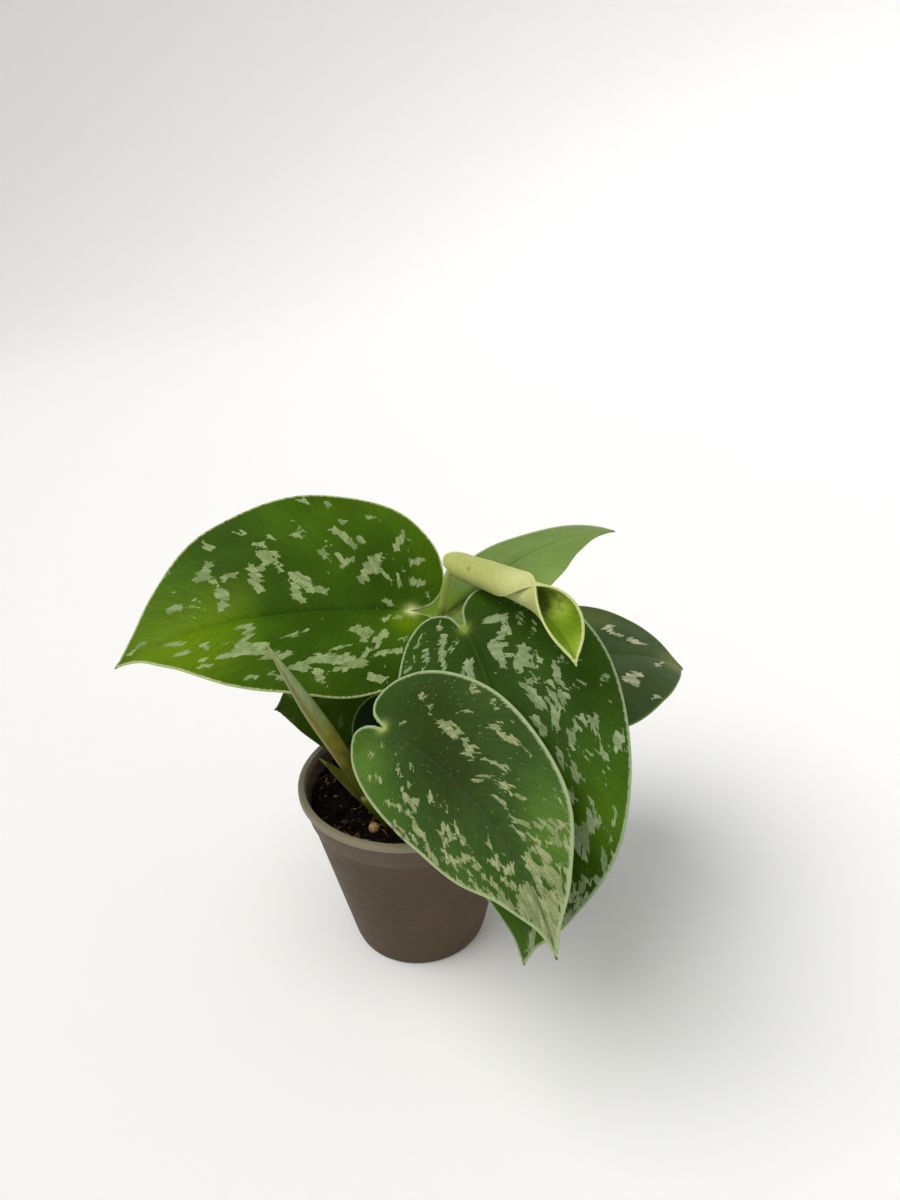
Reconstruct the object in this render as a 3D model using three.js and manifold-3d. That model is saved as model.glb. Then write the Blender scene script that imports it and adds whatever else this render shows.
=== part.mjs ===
// Potted satin pothos: a young plant with eight leaves, a rolled new leaf and a sheath,
// in a small round nursery pot. Millimetres, +Z up, origin at the centre of the pot's foot,
// -Y is the side that faces the viewer.
import * as THREE from 'three';
import { mergeVertices } from 'three/addons/utils/BufferGeometryUtils.js';
import Module from 'manifold-3d';

const wasm = await Module();
wasm.setup();

// Driving dimensions of the pot
const POT_HEIGHT = 46;
const RIM_RADIUS = 27.5;
const RIM_BAND = 1.6;
const RIM_OVERHANG = 0.7;
const WALL = 1.0;
const FLOOR = 1.3;
const FOOT_RADIUS = 16.8;
const FOOT_ROUND = 0.8;
const SHOULDER_DROP = 7.5;
const SHOULDER_STEP = 0.35;
const SHOULDER_RISE = 0.5;
const RIM_EDGE = 0.35;
const RIM_INNER_EDGE = 0.25;
const BAND_EDGE = 0.15;
const POT_SIDES = 48;
const DRAIN_COUNT = 5;
const DRAIN_RADIUS = 2.2;
const DRAIN_CIRCLE = 11.5;
const DRAIN_SIDES = 16;

// Driving dimensions of the soil
const CLEARANCE = 0.3;
const SOIL_LEVEL = 41.4;
const SOIL_RINGS = 7;
const SOIL_SIDES = 32;
const CRUMB_HEIGHT = 0.75;
const CRUMB_WAVES = [
  { alongX: 0.83, alongY: 0.71, start: 0.9, share: 0.3 },
  { alongX: 0.78, alongY: -0.66, start: 2.4, share: 0.3 },
  { alongX: 1.9, alongY: -1.1, start: 2.1, share: 0.3 },
  { alongX: 2.3, alongY: 3.1, start: 0, share: 0.15 },
];
const STEM_SEAT = 30;
const UPRIGHT_BELOW = 4;
const UPRIGHT_ABOVE = 3;
const HOLE_TOP = 5;
const HOLE_SIDES = 16;
const PELLET_RADIUS = 1.35;
const PELLET_AT = [-8.4, -15.9];
const PELLET_SINK = 0.45;
const PELLET_SIDES = 14;

// Driving dimensions that all leaves share
const BLADE = 0.7;
const RIB_SINK = 0.45;
const OUTLINE_STEPS = 20;
const VEIN_STEPS = 4;
const ROLLED_VEIN_STEPS = 11;
const VEIN_BOW = 1.3;
const MIDRIB_STEPS = 80;
const TUBE_SIDES = 8;
const STALK_STEPS = 18;
const STEM_STEPS = 12;
const RIB_STATIONS = [0.02, 0.12, 0.28, 0.5, 0.72];
const ROLLED_RIB_STATIONS = [0.03, 0.12];
const RIB_START = 0.8;
const RIB_END_RADIUS = 0.4;
const STALK_TAPER = [1, 1, 0.92, 0.86, 0.82, 0.76, 0.62, 0.45, 0.33];
const FULL_WIDTH_AT = 0.25;
const ON_RIB = 1e-6;
const TUBE_UP = new THREE.Vector3(0, -0.4, 1).normalize();

// Colours, from what each surface shows
const POT_GREY = 0x77736d;
const SOIL_BROWN = 0x1d1611;
const PELLET_TAN = 0xb08a57;
const STEM_OLIVE = 0x5d6b22;
const ROLLED_GREEN = 0x8aa05a;

// Half a leaf, from the notch at the stalk round the lobe to the tip: how far along the midrib,
// how far across as a share of the half's width, and where on the midrib that vein starts.
const HALF_LEAF = [
  [0, 0, 0],
  [-0.085, 0.08, 0],
  [-0.12, 0.29, 0],
  [-0.07, 0.6, 0],
  [0.08, 0.88, 0],
  [0.32, 1, 0.1],
  [0.62, 0.86, 0.33],
  [0.8, 0.54, 0.6],
  [0.9, 0.27, 0.78],
  [0.965, 0.075, 0.92],
  [1, 0, 1],
];
// How much a drawn-out tip takes off the width at each of those points.
const TIP_DRAW = [0, 0, 0, 0, 0, 0, 0.04, 0.13, 0.13, 0.035, 0];

// Each leaf: where its stalk meets the blade, the heading and climb of its midrib, how it droops
// along its length and at its tip, how it sways, rolls and twists, its length, and for its left
// and right halves the width, the fold up from the midrib and the curl on to the margin.
// Angles in degrees. The stalk's route runs from its seat in the soil to the blade.
const LEAVES = [
  {
    name: 'leaf_left', colour: 0x3c6a17,
    joint: [1.6, 7, 86.2], heading: 188.3, climb: 9, droop: 14, tipDroop: 23, sway: 7,
    roll: -27, twist: 26, length: 67.4, width: [24.1, 27.7], fold: [6.5, 31.5], curl: [-22, 8.5],
    point: 0.5, wave: 0.35, waves: 2.6, wavePhase: 0.2,
    foot: [5, 8], stalk: [[4.4, 8.6, 62], [3.2, 8.4, 76]], stalkRadius: 1.4,
  },
  {
    name: 'leaf_centre', colour: 0x35611f,
    joint: [14.3, -9.8, 89.1], heading: -72, climb: -14, droop: 64.5, tipDroop: 20.5, sway: -19.5,
    roll: 27.5, twist: 14, length: 74.4, width: [25.2, 22.6], fold: [5, 0], curl: [-28, -10.5],
    point: 1, wave: 0.35, waves: 2.2, wavePhase: 0.6,
    foot: [9.5, 1.5], stalk: [[8.8, 1.2, 62], [10.4, -0.6, 77], [13.2, -5.4, 87.2]], stalkRadius: 1.4,
  },
  {
    name: 'leaf_front', colour: 0x33592c,
    joint: [-3.4, -24.2, 74.8], heading: -52, climb: 7, droop: 35, tipDroop: 47.5, sway: -5.5,
    roll: 39, twist: 5.5, length: 61.2, width: [18.1, 15.8], fold: [1, -2], curl: [-4, -25],
    point: 1, wave: 0.3, waves: 2.4, wavePhase: 0.1,
    foot: [0, -14], stalk: [[-0.4, -15.2, 57], [-2.2, -19.5, 69]], stalkRadius: 1.2,
  },
  {
    name: 'leaf_right', colour: 0x2d4a26,
    joint: [16.7, 5.9, 67.4], heading: 4, climb: 15, droop: 18, tipDroop: 34.5, sway: 3.5,
    roll: 2.5, twist: 0, length: 53.1, width: [24, 26.3], fold: [9.5, 5.5], curl: [-11, -36],
    point: -0.6, wave: 0.3, waves: 2.2, wavePhase: 0.4,
    foot: [12.5, 5.5], stalk: [[12.6, 5.6, 56], [14, 5.8, 64.5]], stalkRadius: 1.2,
  },
  {
    name: 'leaf_back', colour: 0x55803f,
    joint: [11.4, 34.3, 72.9], heading: -1.5, climb: 44, droop: 22, tipDroop: 30, sway: 1.5,
    roll: -48.5, twist: 13, length: 48.9, width: [21.6, 21], fold: [-3.5, -3], curl: [-22.5, -6],
    point: 0.3, wave: 0.3, waves: 2, wavePhase: 0.3,
    foot: [8.5, 14], stalk: [[9, 18, 50.5], [9.6, 27, 56], [9.8, 34, 63], [10.1, 36, 69]],
    stalkRadius: 1.2,
  },
  {
    name: 'leaf_low', colour: 0x274a14,
    joint: [-2.5, 21, 60], heading: 189.5, climb: -5.5, droop: 3.5, tipDroop: 1.5, sway: -1,
    roll: -43.5, twist: -1.5, length: 32.8, width: [17, 15.5], fold: [0, 5], curl: [-9.5, -5],
    point: 0.1, wave: 0.3, waves: 1.8, wavePhase: 0.5,
    foot: [0.5, 13.5], stalk: [[0.8, 16.5, 53], [-0.2, 20, 58.6]], stalkRadius: 1,
  },
  {
    name: 'leaf_inner', colour: 0x1f3a20,
    joint: [-2.6, 4.7, 62.8], heading: -95, climb: -65, droop: 12, tipDroop: 5, sway: 0,
    roll: 1.5, twist: 0, length: 21.8, width: [10.2, 11], fold: [6, 5.5], curl: [-8, -8.5],
    point: 0, wave: 0.15, waves: 1.6, wavePhase: 0.2,
    foot: [-1, 8], stalk: [[-1.2, 8.4, 56], [-1.8, 7.4, 62.2]], stalkRadius: 0.9,
  },
  {
    name: 'leaf_unfurling', colour: 0xa9b973, rolled: true,
    joint: [11.9, 9.2, 95.7], heading: -53, climb: -2, droop: -33.5, tipDroop: 54, sway: -27,
    roll: 16.5, twist: -16.5, length: 54.9, width: [13.1, 10.4], fold: [10, 20.5], curl: [317, 225],
    point: 0, opening: 0.93, openingPower: 3.2, baseWidth: 0.8, noLobes: true,
    foot: [4, 13], stalk: [[4.8, 14, 66], [8.7, 9.8, 82]], stalkRadius: 1.2,
  },
];

// The front stem, the sheath on it and the tightly rolled new leaf that stands in it.
const STEM_ROUTE = [
  [-5.5, -13.2, STEM_SEAT], [-5.5, -13.2, 38], [-5.5, -13.2, 42.6], [-8.1, -13.2, 46.2], [-10, -13.3, 49.7],
];
const STEM_RADII = [1.7, 1.7, 1.7, 1.6, 1.3];
const SHEATH_ROUTE = [[-8.4, -13.1, 46], [-13, -10.8, 50.4], [-17.3, -6.7, 52.2], [-21.3, -2.9, 53.2]];
const SHEATH_RADII = [1.3, 1.5, 1.1, 0.12];
const SHEATH_FLATNESS = 0.45;
const SHEATH_SIDES = 10;
const SPIKE_FROM = [-10.1, -13, 50.4];
const SPIKE_TO = [-24, -28.7, 97];
const SPIKE_RADII = [0.9, 1.5, 1.95, 1.9, 1.6, 1.3, 0.9, 0.45, 0.1];
const SPIKE_SEAM = 0.16;
const SPIKE_SIDES = 14;
const SPIKE_STEPS = 16;

const radians = THREE.MathUtils.degToRad;

// A closed solid from shared vertices: triangles that have shrunk to a line are dropped.
function solidGeometry(points, triangles) {
  const raw = new THREE.BufferGeometry();
  raw.setAttribute('position', new THREE.Float32BufferAttribute(points.flatMap((p) => p.toArray()), 3));
  raw.setIndex(triangles.flat());
  const merged = mergeVertices(raw, 1e-3);
  const index = merged.index.array;
  const kept = [];
  for (let i = 0; i < index.length; i += 3) {
    const [a, b, c] = [index[i], index[i + 1], index[i + 2]];
    if (a !== b && b !== c && c !== a) kept.push(a, b, c);
  }
  merged.setIndex(kept);
  return merged;
}

function toManifold(geometry) {
  const bare = geometry.clone();
  bare.deleteAttribute('normal');
  bare.deleteAttribute('uv');
  const merged = mergeVertices(bare, 1e-4);
  return new wasm.Manifold(new wasm.Mesh({
    numProp: 3,
    vertProperties: new Float32Array(merged.attributes.position.array),
    triVerts: new Uint32Array(merged.index.array),
  }));
}

function fromManifold(solid) {
  const mesh = solid.getMesh();
  const geometry = new THREE.BufferGeometry();
  geometry.setAttribute('position', new THREE.BufferAttribute(mesh.vertProperties, 3));
  geometry.setIndex(new THREE.BufferAttribute(mesh.triVerts, 1));
  geometry.computeVertexNormals();
  return geometry;
}

// A tube through a route, with a radius for each of evenly spaced stations and closed ends.
// The section may be flattened, and seam lifts one side of it as an overlapping edge.
function loft(route, radii, { sides = TUBE_SIDES, steps = STEM_STEPS, flatness = 1, seam = 0 } = {}) {
  const curve = new THREE.CatmullRomCurve3(route.map((p) => new THREE.Vector3(...p)), false, 'centripetal');
  const points = [];
  for (let i = 0; i <= steps; i += 1) {
    const t = i / steps;
    const centre = curve.getPointAt(t);
    const ahead = curve.getTangentAt(t);
    const across = new THREE.Vector3().crossVectors(TUBE_UP, ahead).normalize();
    const over = new THREE.Vector3().crossVectors(ahead, across);
    const place = t * (radii.length - 1);
    const low = Math.min(Math.floor(place), radii.length - 2);
    const radius = THREE.MathUtils.lerp(radii[low], radii[low + 1], place - low);
    for (let j = 0; j < sides; j += 1) {
      const turn = j / sides;
      const angle = 2 * Math.PI * turn;
      const reach = radius * (1 + seam * turn);
      const point = centre.clone();
      point.addScaledVector(across, reach * Math.cos(angle));
      point.addScaledVector(over, reach * flatness * Math.sin(angle));
      points.push(point);
    }
  }
  const triangles = [];
  for (let i = 0; i < steps; i += 1) {
    for (let j = 0; j < sides; j += 1) {
      const next = (j + 1) % sides;
      const [a, b] = [i * sides + j, i * sides + next];
      const [c, d] = [a + sides, b + sides];
      triangles.push([a, b, d], [a, d, c]);
    }
  }
  for (let j = 1; j < sides - 1; j += 1) {
    const last = steps * sides;
    triangles.push([0, j + 1, j], [last, last + j, last + j + 1]);
  }
  return solidGeometry(points, triangles);
}

// The midrib of a leaf, summed up in small steps from the stalk to the tip.
function midribOf(leaf) {
  const heading = radians(leaf.heading);
  const ahead = new THREE.Vector3(Math.cos(heading), Math.sin(heading), 0);
  const side = new THREE.Vector3(-Math.sin(heading), Math.cos(heading), 0);
  const directionAt = (s) => {
    const climb = radians(leaf.climb - leaf.droop * s - leaf.tipDroop * s ** 3);
    const sway = radians(leaf.sway * s);
    const left = side.clone().multiplyScalar(Math.cos(sway)).addScaledVector(ahead, -Math.sin(sway));
    const along = ahead.clone().multiplyScalar(Math.cos(sway) * Math.cos(climb));
    along.addScaledVector(side, Math.sin(sway) * Math.cos(climb));
    along.z += Math.sin(climb);
    return { along, left };
  };
  const step = leaf.length / MIDRIB_STEPS;
  const stations = [new THREE.Vector3(...leaf.joint)];
  for (let i = 0; i < MIDRIB_STEPS; i += 1) {
    const middle = directionAt((i + 0.5) / MIDRIB_STEPS).along;
    stations.push(stations[i].clone().addScaledVector(middle, step));
  }
  const pointAt = (x) => {
    const place = THREE.MathUtils.clamp(x, 0, 1) * MIDRIB_STEPS;
    const low = Math.min(Math.floor(place), MIDRIB_STEPS - 1);
    return stations[low].clone().lerp(stations[low + 1], place - low);
  };
  return { directionAt, pointAt };
}

// A function from flat leaf coordinates to the blade's middle surface and its normal:
// x runs along the midrib, y across it as a share of that half's width, left positive.
function surfaceOf(leaf) {
  const midrib = midribOf(leaf);
  return (x, y) => {
    const onRib = THREE.MathUtils.clamp(x, 0, 1);
    const { along, left } = midrib.directionAt(onRib);
    const normal = new THREE.Vector3().crossVectors(along, left);
    const roll = radians(leaf.roll + leaf.twist * x);
    const across = left.clone().multiplyScalar(Math.cos(roll)).addScaledVector(normal, Math.sin(roll));
    const over = normal.clone().multiplyScalar(Math.cos(roll)).addScaledVector(left, -Math.sin(roll));
    const half = y >= 0 ? 0 : 1;
    const t = Math.abs(y);
    const closed = leaf.opening ? 1 - leaf.opening * onRib ** leaf.openingPower : 1;
    const baseWidth = leaf.baseWidth ?? 1;
    const fullness = baseWidth + (1 - baseWidth) * Math.min(1, onRib / FULL_WIDTH_AT);
    const width = leaf.width[half] * fullness;
    const fold = radians(leaf.fold[half]);
    const curl = radians(leaf.curl[half]) * closed;
    const bend = Math.abs(curl) < 1e-6 ? 1e-6 : curl;
    const out = (Math.sin(fold + bend * t) - Math.sin(fold)) / bend * width;
    let lift = (Math.cos(fold) - Math.cos(fold + bend * t)) / bend * width;
    if (leaf.wave) lift += leaf.wave * Math.sin(2 * Math.PI * (leaf.waves * x + leaf.wavePhase)) * t * t;
    const sign = y >= 0 ? 1 : -1;
    const point = midrib.pointAt(x).addScaledVector(along, Math.min(x, 0) * leaf.length);
    point.addScaledVector(across, sign * out).addScaledVector(over, lift);
    const ribSlope = radians(leaf.fold[0] - leaf.fold[1]) / 2;
    const slope = t < ON_RIB ? ribSlope : sign * (fold + bend * t);
    const face = over.clone().multiplyScalar(Math.cos(slope)).addScaledVector(across, -Math.sin(slope));
    return { point, face };
  };
}

// The vein that ends at one place on the outline: from the notch, 0, to the tip, 1.
function veinOf(leaf) {
  const outline = new THREE.CatmullRomCurve3(
    HALF_LEAF.map(([x, y, root], i) => {
      const along = leaf.noLobes ? Math.max(x, 0) : x;
      return new THREE.Vector3(along, y - leaf.point * TIP_DRAW[i], root);
    }),
    false,
    'catmullrom',
  );
  return (place, share) => {
    const end = outline.getPoint(place);
    const root = THREE.MathUtils.clamp(end.z, 0, 1);
    return [root + (end.x - root) * share ** VEIN_BOW, Math.max(end.y, 0) * share];
  };
}

// The blade is a sheet of even thickness whose two faces are split into triangles alike.
function bladeGeometry(leaf) {
  const surface = surfaceOf(leaf);
  const vein = veinOf(leaf);
  const veinSteps = leaf.rolled ? ROLLED_VEIN_STEPS : VEIN_STEPS;
  const columns = 2 * veinSteps + 1;
  const upper = [];
  const lower = [];
  for (let i = 0; i <= OUTLINE_STEPS; i += 1) {
    for (let j = 0; j < columns; j += 1) {
      const share = (veinSteps - j) / veinSteps;
      const [x, y] = vein(i / OUTLINE_STEPS, Math.abs(share));
      const { point, face } = surface(x, share < 0 ? -y : y);
      upper.push(point.clone().addScaledVector(face, BLADE / 2));
      lower.push(point.clone().addScaledVector(face, -BLADE / 2));
    }
  }
  const under = upper.length;
  const at = (i, j) => i * columns + j;
  const triangles = [];
  for (let i = 0; i < OUTLINE_STEPS; i += 1) {
    for (let j = 0; j < columns - 1; j += 1) {
      const [a, b, c, d] = [at(i, j), at(i, j + 1), at(i + 1, j + 1), at(i + 1, j)];
      triangles.push([a, b, c], [a, c, d]);
      triangles.push([under + a, under + c, under + b], [under + a, under + d, under + c]);
    }
    for (const [j, flip] of [[0, false], [columns - 1, true]]) {
      const [a, d] = [at(i, j), at(i + 1, j)];
      const wall = [[a, d, under + d], [a, under + d, under + a]];
      triangles.push(...wall.map((t) => (flip ? t.reverse() : t)));
    }
  }
  return solidGeometry([...upper, ...lower], triangles);
}

// The stalk runs up from its seat in the soil and on under the blade as a tapering rib.
function stalkGeometry(leaf) {
  const surface = surfaceOf(leaf);
  const upright = [STEM_SEAT, SOIL_LEVEL - UPRIGHT_BELOW, SOIL_LEVEL + UPRIGHT_ABOVE];
  const route = [...upright.map((height) => [...leaf.foot, height]), ...leaf.stalk];
  const ribEnd = RIB_STATIONS.at(-1);
  for (const x of leaf.rolled ? ROLLED_RIB_STATIONS : RIB_STATIONS) {
    const { point, face } = surface(x, 0);
    const radius = THREE.MathUtils.lerp(leaf.stalkRadius * RIB_START, RIB_END_RADIUS, x / ribEnd);
    route.push(point.addScaledVector(face, -(BLADE / 2 + radius - RIB_SINK)).toArray());
  }
  const radii = STALK_TAPER.map((share) => share * leaf.stalkRadius);
  return loft(route, radii, { steps: STALK_STEPS });
}

function leafGeometry(leaf) {
  return fromManifold(toManifold(bladeGeometry(leaf)).add(toManifold(stalkGeometry(leaf))));
}

// The stem and its sheath grow as one piece.
function stemGeometry() {
  const stem = toManifold(loft(STEM_ROUTE, STEM_RADII));
  const sheathShape = { flatness: SHEATH_FLATNESS, sides: SHEATH_SIDES };
  const sheath = toManifold(loft(SHEATH_ROUTE, SHEATH_RADII, sheathShape));
  return fromManifold(stem.add(sheath));
}

function spikeGeometry() {
  const shape = { sides: SPIKE_SIDES, steps: SPIKE_STEPS, seam: SPIKE_SEAM };
  return loft([SPIKE_FROM, SPIKE_TO], SPIKE_RADII, shape);
}

// Radius of the pot's tapered wall, outside, at a height.
function wallRadius(height) {
  const top = RIM_RADIUS - RIM_OVERHANG - SHOULDER_STEP;
  return THREE.MathUtils.lerp(FOOT_RADIUS, top, height / (POT_HEIGHT - RIM_BAND));
}

function potGeometry() {
  const shoulder = POT_HEIGHT - SHOULDER_DROP;
  const bandFoot = POT_HEIGHT - RIM_BAND;
  const collar = RIM_RADIUS - RIM_OVERHANG;
  const profile = [
    [0, 0],
    [FOOT_RADIUS - FOOT_ROUND, 0],
    [FOOT_RADIUS - FOOT_ROUND / 4, FOOT_ROUND / 3],
    [wallRadius(FOOT_ROUND), FOOT_ROUND],
    [wallRadius(shoulder), shoulder],
    [wallRadius(shoulder) + SHOULDER_STEP, shoulder + SHOULDER_RISE],
    [collar, bandFoot],
    [RIM_RADIUS - BAND_EDGE, bandFoot],
    [RIM_RADIUS, bandFoot + BAND_EDGE],
    [RIM_RADIUS, POT_HEIGHT - RIM_EDGE],
    [RIM_RADIUS - RIM_EDGE, POT_HEIGHT],
    [collar - WALL + RIM_INNER_EDGE, POT_HEIGHT],
    [collar - WALL, POT_HEIGHT - RIM_INNER_EDGE],
    [wallRadius(shoulder) - WALL, shoulder],
    [wallRadius(FLOOR) - WALL, FLOOR],
    [0, FLOOR],
  ];
  const shell = new THREE.LatheGeometry(profile.map(([r, z]) => new THREE.Vector2(r, z)), POT_SIDES);
  shell.rotateX(Math.PI / 2);
  let pot = toManifold(shell);
  for (let i = 0; i < DRAIN_COUNT; i += 1) {
    const angle = 2 * Math.PI * (i + 0.5) / DRAIN_COUNT;
    const drain = new THREE.CylinderGeometry(DRAIN_RADIUS, DRAIN_RADIUS, 3 * FLOOR, DRAIN_SIDES);
    drain.rotateX(Math.PI / 2);
    drain.translate(DRAIN_CIRCLE * Math.cos(angle), DRAIN_CIRCLE * Math.sin(angle), FLOOR / 2);
    pot = pot.subtract(toManifold(drain));
  }
  return fromManifold(pot);
}

// Crumbs on top of the soil: short waves of unlike lengths laid over each other.
function crumbAt(x, y) {
  let height = 0;
  for (const { alongX, alongY, start, share } of CRUMB_WAVES) {
    height += share * CRUMB_HEIGHT * Math.sin(alongX * x + alongY * y + start);
  }
  return height;
}

// Every place where a stem or stalk goes down into the soil.
function stemSeats() {
  const seats = LEAVES.map((leaf) => ({ at: leaf.foot, radius: leaf.stalkRadius }));
  seats.push({ at: STEM_ROUTE[0], radius: STEM_RADII[0] });
  return seats;
}

function soilGeometry() {
  const bottom = FLOOR + CLEARANCE;
  const topRadius = wallRadius(SOIL_LEVEL) - WALL - CLEARANCE;
  const bottomRadius = wallRadius(bottom) - WALL - CLEARANCE;
  const points = [new THREE.Vector3(0, 0, SOIL_LEVEL + crumbAt(0, 0))];
  for (let ring = 1; ring <= SOIL_RINGS; ring += 1) {
    const radius = topRadius * ring / SOIL_RINGS;
    const edge = ring === SOIL_RINGS ? 0 : 1;
    for (let side = 0; side < SOIL_SIDES; side += 1) {
      const angle = 2 * Math.PI * side / SOIL_SIDES;
      const [x, y] = [radius * Math.cos(angle), radius * Math.sin(angle)];
      points.push(new THREE.Vector3(x, y, SOIL_LEVEL + edge * crumbAt(x, y)));
    }
  }
  for (let side = 0; side < SOIL_SIDES; side += 1) {
    const angle = 2 * Math.PI * side / SOIL_SIDES;
    points.push(new THREE.Vector3(bottomRadius * Math.cos(angle), bottomRadius * Math.sin(angle), bottom));
  }
  points.push(new THREE.Vector3(0, 0, bottom));
  const at = (ring, side) => 1 + (ring - 1) * SOIL_SIDES + side % SOIL_SIDES;
  const triangles = [];
  for (let side = 0; side < SOIL_SIDES; side += 1) {
    triangles.push([0, at(1, side), at(1, side + 1)]);
    for (let ring = 1; ring <= SOIL_RINGS; ring += 1) {
      const [a, b] = [at(ring, side), at(ring, side + 1)];
      const [c, d] = [at(ring + 1, side), at(ring + 1, side + 1)];
      triangles.push([a, c, d], [a, d, b]);
    }
    triangles.push([points.length - 1, at(SOIL_RINGS + 1, side + 1), at(SOIL_RINGS + 1, side)]);
  }
  let soil = toManifold(solidGeometry(points, triangles));
  for (const { at: [x, y], radius } of stemSeats()) {
    const depth = SOIL_LEVEL + HOLE_TOP - STEM_SEAT + CLEARANCE;
    const hole = new THREE.CylinderGeometry(radius + CLEARANCE, radius + CLEARANCE, depth, HOLE_SIDES);
    hole.rotateX(Math.PI / 2);
    hole.translate(x, y, STEM_SEAT - CLEARANCE + depth / 2);
    soil = soil.subtract(toManifold(hole));
  }
  const dimple = pelletBall(PELLET_RADIUS + CLEARANCE);
  dimple.translate(PELLET_AT[0], PELLET_AT[1], pelletHeight());
  return fromManifold(soil.subtract(toManifold(dimple)));
}

function pelletBall(radius) {
  return new THREE.SphereGeometry(radius, PELLET_SIDES, PELLET_SIDES / 2);
}

function pelletHeight() {
  return SOIL_LEVEL + crumbAt(...PELLET_AT) + PELLET_RADIUS - PELLET_SINK;
}

const group = new THREE.Group();

function addPiece(name, geometry, colour, roughness) {
  const material = new THREE.MeshStandardMaterial({ color: colour, roughness, metalness: 0 });
  const mesh = new THREE.Mesh(geometry, material);
  mesh.name = name;
  group.add(mesh);
  return mesh;
}

addPiece('pot', potGeometry(), POT_GREY, 0.7);
addPiece('soil', soilGeometry(), SOIL_BROWN, 0.95);
const pellet = addPiece('pellet', pelletBall(PELLET_RADIUS), PELLET_TAN, 0.6);
pellet.position.set(PELLET_AT[0], PELLET_AT[1], pelletHeight());
addPiece('stem_front', stemGeometry(), STEM_OLIVE, 0.55);
addPiece('leaf_spike', spikeGeometry(), ROLLED_GREEN, 0.5);
for (const leaf of LEAVES) {
  addPiece(leaf.name, leafGeometry(leaf), leaf.colour, 0.5);
}

export default group;
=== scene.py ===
"""A young satin pothos in a small nursery pot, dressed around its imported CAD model."""
import math
import random

import bmesh
import bpy
import numpy as np
from mathutils import Euler, Matrix, Vector, noise


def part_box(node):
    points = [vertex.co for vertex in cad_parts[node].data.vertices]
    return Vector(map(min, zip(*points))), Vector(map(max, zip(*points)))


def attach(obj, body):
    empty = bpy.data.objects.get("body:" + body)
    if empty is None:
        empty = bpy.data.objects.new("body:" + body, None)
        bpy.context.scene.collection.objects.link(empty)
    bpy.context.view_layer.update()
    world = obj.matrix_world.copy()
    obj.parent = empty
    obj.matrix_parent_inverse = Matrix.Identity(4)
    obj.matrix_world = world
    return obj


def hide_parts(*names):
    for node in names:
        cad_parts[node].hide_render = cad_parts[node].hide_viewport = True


bl_info = {
    "name": "Potted satin pothos",
    "version": (1, 0, 0),
    "blender": (4, 5, 0),
    "location": "View3D > Sidebar > Pothos",
    "description": "Leaves, stems, soil and pot of a young satin pothos",
    "category": "Add Mesh",
}

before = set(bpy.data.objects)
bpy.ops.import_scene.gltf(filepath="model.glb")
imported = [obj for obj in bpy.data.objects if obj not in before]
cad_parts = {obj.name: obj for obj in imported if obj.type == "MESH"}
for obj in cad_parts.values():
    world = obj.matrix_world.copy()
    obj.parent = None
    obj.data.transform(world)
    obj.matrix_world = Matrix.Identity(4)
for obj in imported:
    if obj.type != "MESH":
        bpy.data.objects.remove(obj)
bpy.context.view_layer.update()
_, POT_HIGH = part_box("pot")

MM = 0.001
ROOT = "root"

# The camera, worked out from the rim of the pot in the photo: where it stands, how far it looks
# down and how it is turned about its own line of sight.
CAMERA_PLACE = (0.0113, -0.1808, 0.1774)
CAMERA_DOWN = 25.3
CAMERA_ROLL = -2.5
CAMERA_LENS = 27
CAMERA_SENSOR = 36

# Half a leaf, from the notch at the stalk round the lobe to the tip: how far along the midrib,
# how far across as a share of the half's width, and where on the midrib that vein starts.
HALF_LEAF = [
    (0, 0, 0),
    (-0.085, 0.08, 0),
    (-0.12, 0.29, 0),
    (-0.07, 0.6, 0),
    (0.08, 0.88, 0),
    (0.32, 1, 0.1),
    (0.62, 0.86, 0.33),
    (0.8, 0.54, 0.6),
    (0.9, 0.27, 0.78),
    (0.965, 0.075, 0.92),
    (1, 0, 1),
]
# How much a drawn-out tip takes off the width at each of those points, and how far side veins bow.
TIP_DRAW = [0, 0, 0, 0, 0, 0, 0.04, 0.13, 0.13, 0.035, 0]
VEIN_BOW = 1.3
OUTLINE_SAMPLES = 600
MIDRIB_STEPS = 200

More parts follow.
